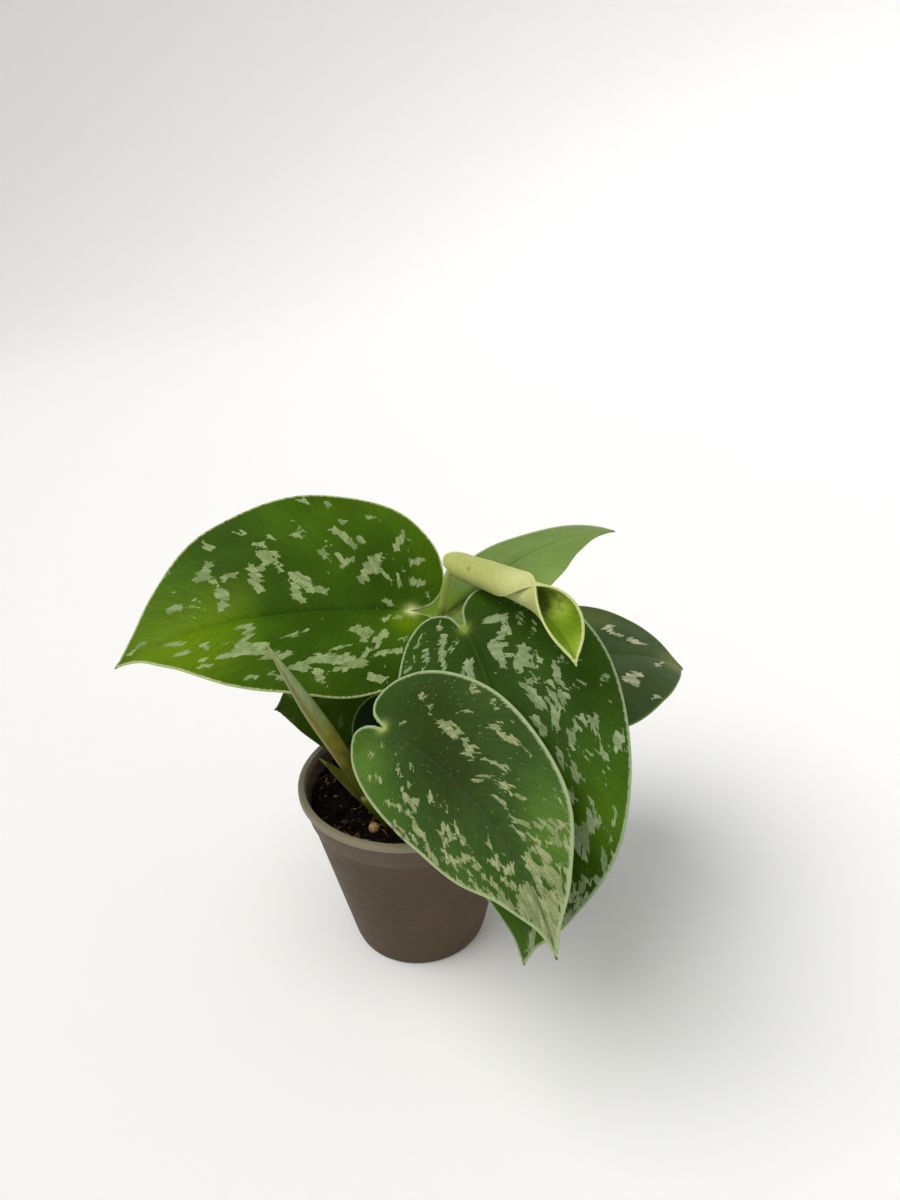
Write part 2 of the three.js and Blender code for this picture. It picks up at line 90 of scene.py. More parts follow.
# Each leaf in millimetres and degrees: where its stalk meets the blade, the heading and climb of
# its midrib, how it droops and sways, its roll, twist and length, and for its left and right
# halves the width, fold and curl. The stalk's route runs from the soil up to the blade.
LEAVES = {
    "leaf_left": dict(
        joint=(1.6, 7, 86.2), heading=188.3, climb=9, droop=14, tip_droop=23, sway=7,
        roll=-27, twist=26, length=67.4, width=(24.1, 27.7), fold=(6.5, 31.5), curl=(-22, 8.5),
        point=0.5, wave=0.35, waves=2.6, wave_phase=0.2,
        foot=(5, 8), stalk=[(4.4, 8.6, 62), (3.6, 8.6, 76)], stalk_radius=1.4, rib_start=-0.04,
    ),
    "leaf_centre": dict(
        joint=(14.3, -9.8, 89.1), heading=-72, climb=-14, droop=64.5, tip_droop=20.5, sway=-19.5,
        roll=27.5, twist=14, length=74.4, width=(25.2, 22.6), fold=(5, 0), curl=(-28, -10.5),
        point=1, wave=0.35, waves=2.2, wave_phase=0.6,
        foot=(9.5, 1.5), stalk=[(8.8, 1.2, 62), (10.4, -0.6, 77), (13.2, -5.4, 87.2)],
        stalk_radius=1.4,
    ),
    "leaf_front": dict(
        joint=(-3.4, -24.2, 74.8), heading=-52, climb=7, droop=35, tip_droop=47.5, sway=-5.5,
        roll=39, twist=5.5, length=61.2, width=(18.1, 15.8), fold=(1, -2), curl=(-4, -25),
        point=1, wave=0.3, waves=2.4, wave_phase=0.1,
        foot=(0, -14), stalk=[(-0.4, -15.2, 57), (-2.2, -19.5, 69)], stalk_radius=1.2,
    ),
    "leaf_right": dict(
        joint=(16.7, 5.9, 67.4), heading=4, climb=15, droop=18, tip_droop=34.5, sway=3.5,
        roll=2.5, twist=0, length=53.1, width=(24, 26.3), fold=(9.5, 5.5), curl=(-11, -36),
        point=-0.6, wave=0.3, waves=2.2, wave_phase=0.4,
        foot=(12.5, 5.5), stalk=[(12.6, 5.6, 56), (14, 5.8, 64.5)], stalk_radius=1.2,
    ),
    "leaf_back": dict(
        joint=(11.4, 34.3, 72.9), heading=-1.5, climb=44, droop=22, tip_droop=30, sway=1.5,
        roll=-48.5, twist=13, length=48.9, width=(21.6, 21), fold=(-3.5, -3), curl=(-22.5, -6),
        point=0.3, wave=0.3, waves=2, wave_phase=0.3,
        foot=(8.5, 14), stalk=[(9, 18, 50.5), (9.6, 27, 56), (9.8, 34, 63), (10.1, 36, 69)],
        stalk_radius=1.2, rib_end=0.4,
    ),
    "leaf_low": dict(
        joint=(-2.5, 21, 60), heading=189.5, climb=-5.5, droop=3.5, tip_droop=1.5, sway=-1,
        roll=-43.5, twist=-1.5, length=32.8, width=(17, 15.5), fold=(0, 5), curl=(-9.5, -5),
        point=0.1, wave=0.3, waves=1.8, wave_phase=0.5,
        foot=(0.5, 13.5), stalk=[(0.8, 16.5, 53), (-0.2, 20, 58.6)], stalk_radius=1,
    ),
    "leaf_inner": dict(
        joint=(-2.6, 4.7, 62.8), heading=-95, climb=-65, droop=12, tip_droop=5, sway=0,
        roll=1.5, twist=0, length=21.8, width=(10.2, 11), fold=(6, 5.5), curl=(-8, -8.5),
        point=0, wave=0.15, waves=1.6, wave_phase=0.2,
        foot=(-1, 8), stalk=[(-1.2, 8.4, 56), (-1.8, 7.4, 62.2)], stalk_radius=0.9,
    ),
    "leaf_unfurling": dict(
        joint=(11.9, 9.2, 95.7), heading=-53, climb=-2, droop=-33.5, tip_droop=54, sway=-27,
        roll=16.5, twist=-16.5, length=54.9, width=(13.1, 10.4), fold=(10, 20.5), curl=(317, 225),
        point=0, wave=0, waves=0, wave_phase=0, opening=0.93, opening_power=3.2, base_width=0.8,
        foot=(4, 13), stalk=[(4.8, 14, 66), (8.7, 9.8, 82)], stalk_radius=1.2, rib_end=0.2,
    ),
}
# Where along the midrib the rolled base of a leaf has grown to its full width.
FULL_WIDTH_AT = 0.25

# Silver splashes, read off from the photo: each is a short stroke from one place on the
# flat leaf to another (along the midrib, across the half) and half its width in millimetres.
SPLASHES = {
    "leaf_left": [
        (0.1, 0.8, 0.125, 0.78, 0.5), (0.125, 0.81, 0.15, 0.77, 0.7), (0.32, 0.84, 0.325, 0.76, 0.9),
        (0.33, 0.74, 0.355, 0.73, 0.5), (0.37, 0.66, 0.385, 0.76, 0.7), (0.385, 0.69, 0.42, 0.7, 0.7),
        (0.45, 0.82, 0.48, 0.765, 0.7), (0.53, 0.79, 0.565, 0.775, 0.4), (0.17, 0.64, 0.35, 0.62, 0.9),
        (0.2, 0.66, 0.28, 0.74, 0.5), (0.22, 0.57, 0.33, 0.57, 0.7), (0.27, 0.5, 0.21, 0.44, 0.55),
        (0.41, 0.54, 0.46, 0.57, 0.7), (0.47, 0.52, 0.51, 0.58, 0.6), (0.5, 0.5, 0.6, 0.5, 0.6),
        (0.5, 0.42, 0.58, 0.4, 1.4), (0.605, 0.47, 0.64, 0.48, 0.8), (0.57, 0.33, 0.54, 0.26, 0.8),
        (0.545, 0.24, 0.545, 0.15, 0.6), (0.53, 0.14, 0.56, 0.12, 0.95), (0.68, 0.57, 0.7, 0.55, 0.7),
        (0.69, 0.48, 0.71, 0.48, 0.25), (0.68, 0.33, 0.69, 0.28, 0.75), (0.61, 0.3, 0.625, 0.33, 0.3),
        (0.75, 0.33, 0.785, 0.32, 0.4), (0.765, 0.18, 0.8, 0.1, 0.85), (0.35, 0.24, 0.4, 0.35, 0.3),
        (0.385, 0.27, 0.44, 0.34, 0.35), (0.145, 0.28, 0.2, 0.27, 1), (0.165, 0.37, 0.18, 0.22, 0.9),
        (0.04, 0.5, 0.09, 0.51, 0.7), (0.09, 0.51, 0.14, 0.56, 0.55), (0.09, 0.29, 0.12, 0.38, 0.9),
        (0.115, 0.4, 0.12, 0.47, 0.5), (0.15, 0.49, 0.17, 0.55, 0.6), (0.03, 0.09, 0.05, 0.1, 0.35),
        (0.07, 0.09, 0.09, 0.12, 0.4), (0.02, 0.34, 0.035, 0.36, 0.4), (0.06, -0.06, 0.09, -0.09, 0.5),
        (-0.045, -0.24, -0.01, -0.26, 0.8), (0.15, -0.27, 0.155, -0.3, 1), (0.11, -0.36, 0.14, -0.36, 1),
        (0.1, -0.42, 0.13, -0.43, 0.7), (0.09, -0.47, 0.11, -0.45, 0.45), (0.06, -0.24, 0.09, -0.33, 0.4),
        (0.19, -0.44, 0.22, -0.38, 0.7), (0.22, -0.42, 0.24, -0.49, 0.6),
        (0.27, -0.47, 0.285, -0.52, 0.65), (0.26, -0.58, 0.28, -0.58, 0.3),
        (0.18, -0.53, 0.22, -0.66, 0.8), (0.22, -0.66, 0.24, -0.7, 0.8), (0.21, -0.77, 0.215, -0.77, 0.5),
        (0.155, -0.59, 0.165, -0.64, 0.5), (0.28, -0.18, 0.33, -0.2, 0.9), (0.33, -0.24, 0.38, -0.33, 1),
        (0.355, -0.1, 0.38, -0.16, 0.8), (0.37, -0.16, 0.385, -0.24, 0.8),
        (0.42, -0.38, 0.43, -0.46, 0.55), (0.43, -0.52, 0.47, -0.54, 0.85),
        (0.45, -0.47, 0.49, -0.42, 0.9), (0.495, -0.26, 0.505, -0.44, 1.15),
        (0.56, -0.4, 0.59, -0.4, 0.55), (0.605, -0.36, 0.625, -0.39, 0.35),
        (0.63, -0.55, 0.65, -0.47, 0.9), (0.64, -0.45, 0.68, -0.45, 0.7), (0.61, -0.16, 0.61, -0.28, 1.1),
        (0.6, -0.15, 0.63, -0.14, 0.5), (0.67, -0.17, 0.71, -0.22, 0.4), (0.68, -0.26, 0.695, -0.27, 0.3),
        (0.74, -0.24, 0.77, -0.25, 0.85), (0.61, -0.67, 0.63, -0.73, 0.6), (0.34, -0.67, 0.37, -0.67, 0.6),
        (0.335, -0.73, 0.34, -0.73, 0.35), (0.36, -0.79, 0.37, -0.79, 0.3),
        (0.43, -0.67, 0.44, -0.67, 0.35), (0.46, -0.61, 0.49, -0.65, 0.5),
        (0.505, -0.74, 0.53, -0.76, 0.5), (-0.07, -0.12, -0.065, -0.17, 0.3),
        (0.03, -0.2, 0.04, -0.32, 0.25), (0.02, -0.33, 0.025, -0.35, 0.35),
        (-0.04, -0.44, -0.01, -0.41, 0.65), (0.045, -0.52, 0.03, -0.64, 0.7), (0, -0.6, 0.01, -0.62, 0.3),
        (0.12, -0.79, 0.135, -0.79, 0.5), (0.25, -0.91, 0.265, -0.91, 0.35),
        (0.32, -0.95, 0.345, -0.955, 0.3), (0.8, -0.1, 0.81, -0.11, 0.2),
        (0.71, -0.14, 0.72, -0.145, 0.25), (0.87, -0.08, 0.93, -0.04, 0.35),
        (0.74, -0.58, 0.76, -0.55, 0.25),
    ],
    "leaf_centre": [
        (0.015, 0.22, 0.03, 0.36, 0.9), (0.045, 0.33, 0.09, 0.33, 0.55), (0.07, 0.3, 0.085, 0.22, 0.7),
        (0, 0.5, 0.02, 0.55, 0.4), (0.04, 0.47, 0.08, 0.45, 0.35), (0.09, 0.55, 0.12, 0.5, 0.5),
        (0.095, 0.16, 0.17, 0.18, 1), (0.105, 0.17, 0.115, 0.26, 0.6), (0.145, 0.17, 0.155, 0.26, 0.5),
        (0.155, 0.38, 0.2, 0.36, 1.2), (0.17, 0.34, 0.2, 0.3, 1.1), (0.19, 0.47, 0.22, 0.44, 0.6),
        (0.245, 0.38, 0.25, 0.28, 0.7), (0.26, 0.3, 0.32, 0.38, 0.8), (0.22, 0.63, 0.23, 0.58, 0.5),
        (0.23, 0.58, 0.27, 0.55, 0.7), (0.265, 0.57, 0.27, 0.46, 0.7), (0.3, 0.75, 0.305, 0.64, 0.6),
        (0.3, 0.57, 0.31, 0.44, 0.8), (0.29, 0.92, 0.31, 0.86, 0.45), (-0.03, -0.21, 0.02, -0.29, 0.75),
        (0.02, -0.29, 0.08, -0.33, 0.7), (0.03, -0.2, 0.035, -0.2, 0.45), (0.11, -0.1, 0.17, -0.12, 0.9),
        (0.12, -0.15, 0.15, -0.2, 0.5), (0.02, -0.12, 0.02, -0.13, 0.4),
        (-0.08, -0.18, -0.06, -0.22, 0.45), (-0.08, -0.38, -0.07, -0.42, 0.4),
        (-0.065, -0.45, -0.055, -0.46, 0.5), (-0.01, -0.42, 0.02, -0.46, 0.65),
        (0.04, -0.52, 0.06, -0.55, 0.4), (-0.02, -0.55, -0.01, -0.56, 0.35), (0, -0.65, 0.01, -0.66, 0.4),
        (0.43, 0.92, 0.455, 0.83, 0.75), (0.38, 0.76, 0.4, 0.72, 0.8), (0.385, 0.7, 0.385, 0.58, 0.75),
        (0.44, 0.75, 0.465, 0.74, 0.6), (0.455, 0.72, 0.455, 0.62, 0.6), (0.405, 0.56, 0.43, 0.52, 0.8),
        (0.325, 0.55, 0.34, 0.48, 0.9), (0.35, 0.46, 0.38, 0.44, 0.6), (0.475, 0.5, 0.5, 0.54, 0.7),
        (0.475, 0.44, 0.48, 0.44, 0.5), (0.53, 0.46, 0.545, 0.48, 0.6), (0.42, 0.41, 0.45, 0.43, 0.5),
        (0.35, 0.31, 0.385, 0.35, 0.75), (0.575, 0.77, 0.59, 0.77, 0.55), (0.51, 0.72, 0.52, 0.72, 0.2),
        (0.505, 0.65, 0.505, 0.63, 0.2), (0.55, 0.61, 0.565, 0.61, 0.35), (0.59, 0.62, 0.6, 0.53, 0.9),
        (0.61, 0.55, 0.66, 0.53, 0.8), (0.61, 0.49, 0.65, 0.48, 0.6), (0.605, 0.72, 0.61, 0.7, 0.2),
        (0.63, 0.73, 0.66, 0.73, 0.25), (0.65, 0.68, 0.68, 0.66, 0.25), (0.7, 0.62, 0.71, 0.56, 0.4),
        (0.705, 0.52, 0.74, 0.46, 0.7), (0.74, 0.54, 0.76, 0.46, 0.6), (0.77, 0.44, 0.8, 0.37, 0.7),
        (0.72, 0.44, 0.76, 0.4, 0.4), (0.46, 0.955, 0.6, 0.865, 0.28), (0.6, 0.86, 0.7, 0.71, 0.3),
        (0.7, 0.7, 0.82, 0.42, 0.4), (0.8, 0.34, 0.86, 0.22, 0.6), (0.88, 0.2, 0.96, 0.06, 0.4),
        (0.84, 0.12, 0.93, 0.04, 0.4), (0.66, 0.38, 0.74, 0.34, 0.7), (0.45, 0.2, 0.52, 0.26, 0.8),
        (0.56, 0.3, 0.6, 0.33, 0.6), (0.6, 0.12, 0.68, 0.16, 0.7),
    ],
    "leaf_front": [
        (0.215, 0.39, 0.275, 0.37, 1.1), (0.26, 0.45, 0.29, 0.43, 0.3), (0.325, 0.38, 0.36, 0.36, 0.65),
        (0.365, 0.4, 0.375, 0.28, 0.55), (0.345, 0.27, 0.335, 0.2, 0.25), (0.345, 0.5, 0.352, 0.57, 0.35),
        (0.36, 0.67, 0.39, 0.7, 0.5), (0.42, 0.68, 0.45, 0.72, 0.5), (0.38, 0.76, 0.39, 0.77, 0.3),
        (0.44, 0.745, 0.52, 0.745, 0.15), (0.4, 0.86, 0.415, 0.86, 0.3), (0.22, 0.92, 0.24, 0.86, 0.5),
        (0.31, 0.9, 0.34, 0.84, 0.3), (0.35, 0.955, 0.38, 0.95, 0.3), (0.255, 0.62, 0.28, 0.67, 0.35),
        (0.24, 0.57, 0.25, 0.59, 0.25), (0.405, 0.375, 0.47, 0.45, 0.28), (0.48, 0.5, 0.5, 0.4, 0.3),
        (0.437, 0.15, 0.46, 0.28, 0.4), (0.46, 0.28, 0.495, 0.42, 0.4), (0.505, 0.3, 0.53, 0.36, 0.5),
        (0.51, 0.21, 0.57, 0.215, 0.25), (0.55, 0.26, 0.56, 0.22, 0.2), (0.545, 0.35, 0.555, 0.33, 0.2),
        (0.555, 0.37, 0.585, 0.42, 0.3), (0.605, 0.2, 0.64, 0.3, 0.5), (0.64, 0.3, 0.665, 0.42, 0.55),
        (0.665, 0.42, 0.7, 0.6, 0.5), (0.7, 0.25, 0.74, 0.28, 0.6), (0.72, 0.1, 0.76, 0.12, 0.9),
        (0.76, 0.2, 0.8, 0.26, 1.1), (0.82, 0.15, 0.86, 0.1, 1.2), (0.7, 0.12, 0.7, 0.2, 0.5),
        (0.7, 0.46, 0.71, 0.36, 0.4), (0.76, 0.36, 0.8, 0.3, 0.4), (0.78, 0.4, 0.82, 0.32, 0.45),
        (0.62, 0.7, 0.68, 0.66, 0.15), (0.7, 0.62, 0.78, 0.48, 0.3), (0.84, 0.02, 0.97, 0, 1.6),
        (0.88, 0.1, 0.92, 0.06, 1.2), (0.07, 0.53, 0.09, 0.5, 0.4), (0.12, 0.46, 0.14, 0.45, 0.35),
        (0.15, 0.4, 0.18, 0.38, 0.3), (0.05, 0.14, 0.08, 0.18, 0.2), (0.62, 0.16, 0.66, 0.18, 0.4),
        (0.66, 0.25, 0.69, 0.3, 0.3), (0.6, -0.165, 0.7, -0.185, 0.3), (0.645, -0.28, 0.68, -0.24, 0.5),
        (0.705, -0.08, 0.72, -0.2, 0.5), (0.72, -0.25, 0.76, -0.2, 0.4), (0.79, -0.05, 0.86, -0.06, 1.5),
        (0.8, -0.15, 0.86, -0.13, 1), (0.68, -0.45, 0.72, -0.4, 0.5), (0.7, -0.38, 0.76, -0.33, 0.35),
        (0.76, -0.38, 0.8, -0.3, 0.35), (0.48, -0.36, 0.55, -0.4, 0.5), (0.45, -0.46, 0.51, -0.48, 0.6),
        (0.455, -0.55, 0.51, -0.58, 0.5), (0.58, -0.56, 0.6, -0.46, 0.5), (0.6, -0.43, 0.65, -0.42, 0.3),
        (0.62, -0.5, 0.63, -0.47, 0.3), (0.335, -0.33, 0.365, -0.36, 0.55),
        (0.395, -0.28, 0.4, -0.34, 0.25), (0.42, -0.29, 0.43, -0.31, 0.3), (0.23, -0.38, 0.25, -0.4, 0.3),
        (0.22, -0.5, 0.235, -0.56, 0.4), (0.255, -0.56, 0.3, -0.5, 0.75), (0.265, -0.58, 0.31, -0.6, 0.4),
        (0.175, -0.75, 0.24, -0.71, 0.6), (0.28, -0.68, 0.32, -0.7, 0.4), (0.335, -0.74, 0.4, -0.77, 0.55),
        (0.4, -0.72, 0.43, -0.8, 0.3), (0.44, -0.82, 0.51, -0.85, 0.5), (0.34, -0.87, 0.4, -0.88, 0.3),
        (0.15, -0.29, 0.16, -0.36, 0.3), (0, -0.36, 0.02, -0.36, 0.45), (0.05, -0.63, 0.055, -0.64, 0.35),
        (0.08, -0.57, 0.12, -0.58, 0.2), (0.03, -0.2, 0.05, -0.22, 0.2), (0.11, -0.19, 0.12, -0.19, 0.2),
        (0.2, -0.2, 0.225, -0.22, 0.2), (0.52, -0.73, 0.56, -0.72, 0.2), (0.58, -0.83, 0.64, -0.78, 0.3),
        (0.62, -0.75, 0.68, -0.68, 0.25), (0.66, -0.62, 0.74, -0.55, 0.25), (0.72, -0.5, 0.8, -0.4, 0.3),
        (0.16, -0.31, 0.19, -0.38, 0.2), (0.24, -0.9, 0.34, -0.93, 0.3), (0.44, -0.94, 0.52, -0.9, 0.3),
        (0.5, -0.68, 0.6, -0.66, 0.2), (0.56, -0.62, 0.66, -0.56, 0.2), (0.69, 0.49, 0.72, 0.46, 0.45),
        (0.71, 0.54, 0.75, 0.5, 0.35), (0.79, 0.27, 0.84, 0.24, 0.7), (0.84, 0.24, 0.9, 0.14, 0.8),
        (0.76, 0.1, 0.82, 0.08, 0.5), (0.775, -0.11, 0.82, -0.1, 0.5), (0.745, -0.51, 0.82, -0.27, 0.55),
        (0.72, -0.24, 0.76, -0.17, 0.45), (0.735, -0.37, 0.79, -0.33, 0.4), (0.88, -0.12, 0.93, -0.1, 0.8),
    ],
    "leaf_unfurling": [(0.69, 0.46, 0.745, 0.24, 0.6)],
    "leaf_right": [
        (0.69, 0.47, 0.66, 0.42, 0.6), (0.66, 0.42, 0.67, 0.33, 0.9), (0.68, 0.31, 0.71, 0.3, 0.5),
        (0.75, 0.25, 0.77, 0.21, 0.9), (0.79, 0.21, 0.82, 0.21, 0.5), (0.65, -0.41, 0.69, -0.36, 1.2),
        (0.66, -0.46, 0.68, -0.49, 0.8), (0.81, -0.2, 0.86, -0.08, 0.4), (0.73, -0.64, 0.76, -0.61, 0.3),
        (0.52, 0.55, 0.55, 0.6, 0.6), (0.42, -0.3, 0.46, -0.36, 1), (0.3, 0.35, 0.34, 0.42, 1.1),
    ],
}
# Where no view of the photo reaches, splashes are drawn by a seeded rule: how many, from which
# seed, and the box of the flat leaf that they start in.
SCATTER = {
    "leaf_centre": [(26, 11, (0.15, 0.85), (-0.92, -0.1))],
    "leaf_right": [(12, 12, (0.05, 0.5), (-0.8, 0.8))],
    "leaf_back": [(46, 13, (-0.05, 0.9), (-0.9, 0.9))],
    "leaf_low": [(9, 14, (-0.05, 0.9), (0.2, 0.9)), (14, 15, (0.0, 0.9), (-0.9, -0.1))],
    "leaf_inner": [(8, 16, (0.1, 0.9), (-0.8, 0.8))],
    "leaf_unfurling": [(7, 17, (0.35, 0.8), (-0.8, 0.8))],
}

# Soft patches of lighter, yellower leaf (above 0) and darker leaf (below 0): place on the flat
# leaf, radius in millimetres, strength. They are partly the leaf's own colour and mostly painted
# light and painted shade: painted shadows of the leaves above, painted highlights, and a painted
# brightening of the rolled leaf's shaded throat.
TINTS_AND_PAINTED_LIGHT = {
    "leaf_left": [
        (0.74, 0.2, 12, 0.8), (0.62, -0.14, 9, 0.4), (0.02, 0.1, 3.5, 0.9), (0, 0.2, 5, 0.4),
        (-0.06, 0.55, 4, 0.4), (0.88, 0.04, 9, 0.5), (-0.05, -0.4, 7, 0.25), (0.04, -0.9, 6, 0.3),
        (0.2, -0.92, 7, 0.2), (0.1, -0.62, 6, -0.45), (0.1, 0.72, 7, -0.6), (0.25, 0.02, 10, -0.5),
        (0.62, -0.78, 10, -0.35), (0.2, 0.85, 9, -0.5), (0.38, 0.12, 8, -0.4), (0.1, -0.25, 8, -0.3),
        (0.7, 0.62, 6, 0.3),
    ],
    "leaf_centre": [
        (0.58, 0.7, 6, 0.6), (0.05, 0.12, 10, -0.6), (0.3, 0.1, 12, -0.5), (-0.05, -0.3, 9, -0.4),
        (0.2, 0.75, 8, -0.2), (0.93, 0.05, 8, 0.5),
    ],
    "leaf_front": [
        (0.22, 0.05, 9, -0.8), (0.4, 0, 8, -0.8), (0.6, -0.05, 6, -0.5), (0.3, 0.55, 9, -0.2),
        (-0.02, -0.55, 9, 0.8), (0.2, -0.75, 9, 0.4), (0.6, -0.5, 9, 0.3), (-0.02, 0.5, 9, 0.3),
        (0.72, 0.45, 6, 0.7), (0.62, 0.55, 7, 0.4), (0.1, 0.6, 7, -0.7), (0, 0.2, 6, -0.6),
    ],
    "leaf_right": [(0.58, 0.72, 8, 0.5), (0.95, -0.04, 5, 0.8), (0.7, -0.1, 14, -0.25)],
    "leaf_back": [(-0.04, -0.42, 7, 1), (0.06, -0.32, 4, 0.5), (0.5, 0.4, 12, 0.1)],
    "leaf_low": [(0.5, 0.5, 9, -0.3), (0.2, 0.6, 6, 0.3)],
    "leaf_inner": [(0.5, 0, 8, -0.8)],
    "leaf_unfurling": [
        (0.5, 0, 9, 1), (0.58, 0.6, 6, 0.6), (0.58, -0.6, 6, 0.6), (0.71, 0.42, 4, 0.7),
        (0.93, 0.15, 3, 0.25),
    ],
}

# Dried, brown spots, most at tips and margins: place on the flat leaf and radius in millimetres.
DRY_SPOTS = {
    "leaf_left": [(1, 0, 0.5)],
    "leaf_centre": [(1, 0, 0.8)],
    "leaf_front": [(1, 0, 0.8), (0.25, -1, 0.9), (0.31, -0.99, 0.7)],
    "leaf_right": [(1, 0, 2.3)],
    "leaf_back": [(1, 0, 0.6)],
    "leaf_unfurling": [(0.2, 0.64, 0.5)],
}

# The front stem, the sheath on it and the tightly rolled new leaf that stands in it: routes and
# radii in millimetres, from foot to tip.
STEM_ROUTE = [(-5.5, -13.2, 36), (-5.5, -13.2, 38), (-5.5, -13.2, 42.6), (-8.1, -13.2, 46.2),
              (-10, -13.3, 49.7)]
STEM_RADII = [1.7, 1.7, 1.7, 1.6, 1.3]
SHEATH_ROUTE = [(-8.4, -13.1, 46), (-13, -10.8, 50.4), (-17.3, -6.7, 52.2), (-21.3, -2.9, 53.2)]
SHEATH_RADII = [1.3, 1.5, 1.1, 0.12]
SPIKE_ROUTE = [(-10.1, -13, 50.4), (-14.1, -17.4, 65), (-19, -23, 81), (-24.1, -28.9, 98.2)]
SPIKE_RADII = [0.9, 1.35, 1.65, 1.72, 1.68, 1.5, 1.12, 0.65, 0.1]
# The rib under a blade: places along the midrib, its radius there as a share of the stalk's, the
# same for a rib that ends early, and how far under the skin it lies, in millimetres.
RIB_STATIONS = [-0.012, 0.03, 0.07, 0.13, 0.28, 0.5, 0.72, 0.9]
RIB_TAPER = [0.85, 0.82, 0.77, 0.7, 0.6, 0.45, 0.32, 0.12]
RIB_END_TAPER = 0.06
RIB_CLEARANCE = 0.12
# How deep in the soil a stalk starts, and how high over its start it still stands upright.
STALK_DEPTH = 4
STALK_UPRIGHT = (0, 3.5, 7)
# How far the swelling at the blade reaches, in metres, and the side of a tube that faces the viewer.
KNEE_REACH = 0.0032
TUBE_UP = Vector((0, -0.4, 1)).normalized()


class PotSettings(bpy.types.PropertyGroup):
    rim_radius: bpy.props.FloatProperty(
        name="Rim radius", description="Radius of the lip", default=POT_HIGH.x, unit="LENGTH")
    height: bpy.props.FloatProperty(
        name="Height", description="From foot to lip", default=POT_HIGH.z, unit="LENGTH")
    foot_radius: bpy.props.FloatProperty(
        name="Foot radius", description="Radius of the wall at the foot", default=0.0168, unit="LENGTH")
    wall: bpy.props.FloatProperty(
        name="Wall", description="Thickness of the moulded wall", default=0.001, unit="LENGTH")
    drains: bpy.props.IntProperty(
        name="Drain holes", description="Holes in the floor of the pot", default=5, min=1)
    soil_level: bpy.props.FloatProperty(
        name="Soil level", description="Height of the soil above the foot", default=0.0414, unit="LENGTH")


class LeafSettings(bpy.types.PropertyGroup):
    thickness: bpy.props.FloatProperty(
        name="Blade", description="Thickness of a leaf blade", default=0.00045, unit="LENGTH")
    groove: bpy.props.FloatProperty(
        name="Midrib groove", description="Depth of the groove over the midrib", default=0.00045,
        unit="LENGTH")
    vein_depth: bpy.props.FloatProperty(
        name="Vein depth", description="How far the side veins sink in", default=0.00006, unit="LENGTH")
    vein_count: bpy.props.IntProperty(
        name="Side veins", description="Side veins in each half", default=15, min=1)
    puckering: bpy.props.FloatProperty(
        name="Puckering", description="Uneven growth between the veins", default=0.00035, unit="LENGTH")


class StageSettings(bpy.types.PropertyGroup):
    floor_colour: bpy.props.FloatVectorProperty(
        name="Floor", description="Colour of the floor", default=(0.9, 0.9, 0.895), subtype="COLOR")
    key_power: bpy.props.FloatProperty(
        name="Key light", description="Strength of the broad window light", default=2.4, min=0)
    sky: bpy.props.FloatProperty(
        name="Sky", description="Strength of the even light all round", default=0.35, min=0)


def linear(colour):
    """Linear RGBA from an sRGB hex string."""
    parts = [int(colour[i:i + 2], 16) / 255 for i in (0, 2, 4)]
    return [p / 12.92 if p <= 0.04045 else ((p + 0.055) / 1.055) ** 2.4 for p in parts] + [1.0]


def add(tree, kind, inputs=None, out=0, **settings):
    """Adds a shader node, with its settings and links or values for its inputs, and gives an output."""
    made = tree.nodes.new("ShaderNode" + kind)
    for key, value in settings.items():
        setattr(made, key, value)
    for key, value in (inputs or {}).items():
        socket = made.inputs[key]
        if isinstance(value, bpy.types.NodeSocket):
            tree.links.new(value, socket)
        else:
            socket.default_value = value
    return made.outputs[out] if made.outputs else None


def new_material(name):
    """An empty node material, its node tree and the place on the piece that its patterns read."""
    material = bpy.data.materials.new(name)
    material.use_nodes = True
    tree = material.node_tree
    tree.nodes.clear()
    return material, tree, add(tree, "TexCoord", out="Object")


def finish(material, surface, relief=None, strength=0.0, depth=0.0):
    """Ends a material: what its shader takes, and a height pattern with its strength and depth."""
    tree = material.node_tree
    if relief is not None:
        bump = add(tree, "Bump", {"Height": relief, "Strength": strength, "Distance": depth})
        surface = {**surface, "Normal": bump}
    add(tree, "OutputMaterial", {"Surface": add(tree, "BsdfPrincipled", surface)})
    return material


def two_tones(tree, place, scale, detail, dark, light, low=0.35, high=0.65, roughness=0.5):
    """Soft patches in two tones: the pattern behind them, and their colour."""
    sizes = {"Scale": scale, "Detail": detail, "Roughness": roughness}
    pattern = add(tree, "TexNoise", {"Vector": place, **sizes})
    share = add(tree, "MapRange", {0: pattern, 1: low, 2: high})
    return pattern, add(tree, "Mix", {0: share, 6: linear(dark), 7: linear(light)}, 2, data_type="RGBA")


def vary(tree, colour, pattern, low, high, dim, bright):
    """A colour dimmed where a pattern is low and brightened where it is high."""
    value = add(tree, "MapRange", {0: pattern, 1: low, 2: high, 3: dim, 4: bright})
    return add(tree, "HueSaturation", {"Color": colour, "Value": value})


def leaf_grain(tree, place, stretch, streaks, mottle):
    """The side veins' map, streaks along them, the cells' own fine mottle, and both together."""
    veins = add(tree, "UVMap", uv_map="veins")
    stretched = add(tree, "Mapping", {"Vector": veins, "Scale": stretch})
    streak = add(tree, "TexNoise", {"Vector": stretched, **streaks})
    fine = add(tree, "TexNoise", {"Vector": place, **mottle})
    return veins, streak, fine, add(tree, "Math", {0: streak, 1: fine}, operation="ADD")


def waxy(look, colour, roughness):
    """A leaf skin's surface: a dull wax, and some light through a young blade."""
    return {"Base Color": colour, "Roughness": roughness, "Specular IOR Level": 0.06,
            "Subsurface Weight": look.get("through", 0.0), "Subsurface Radius": (0.0012, 0.0016, 0.0006)}


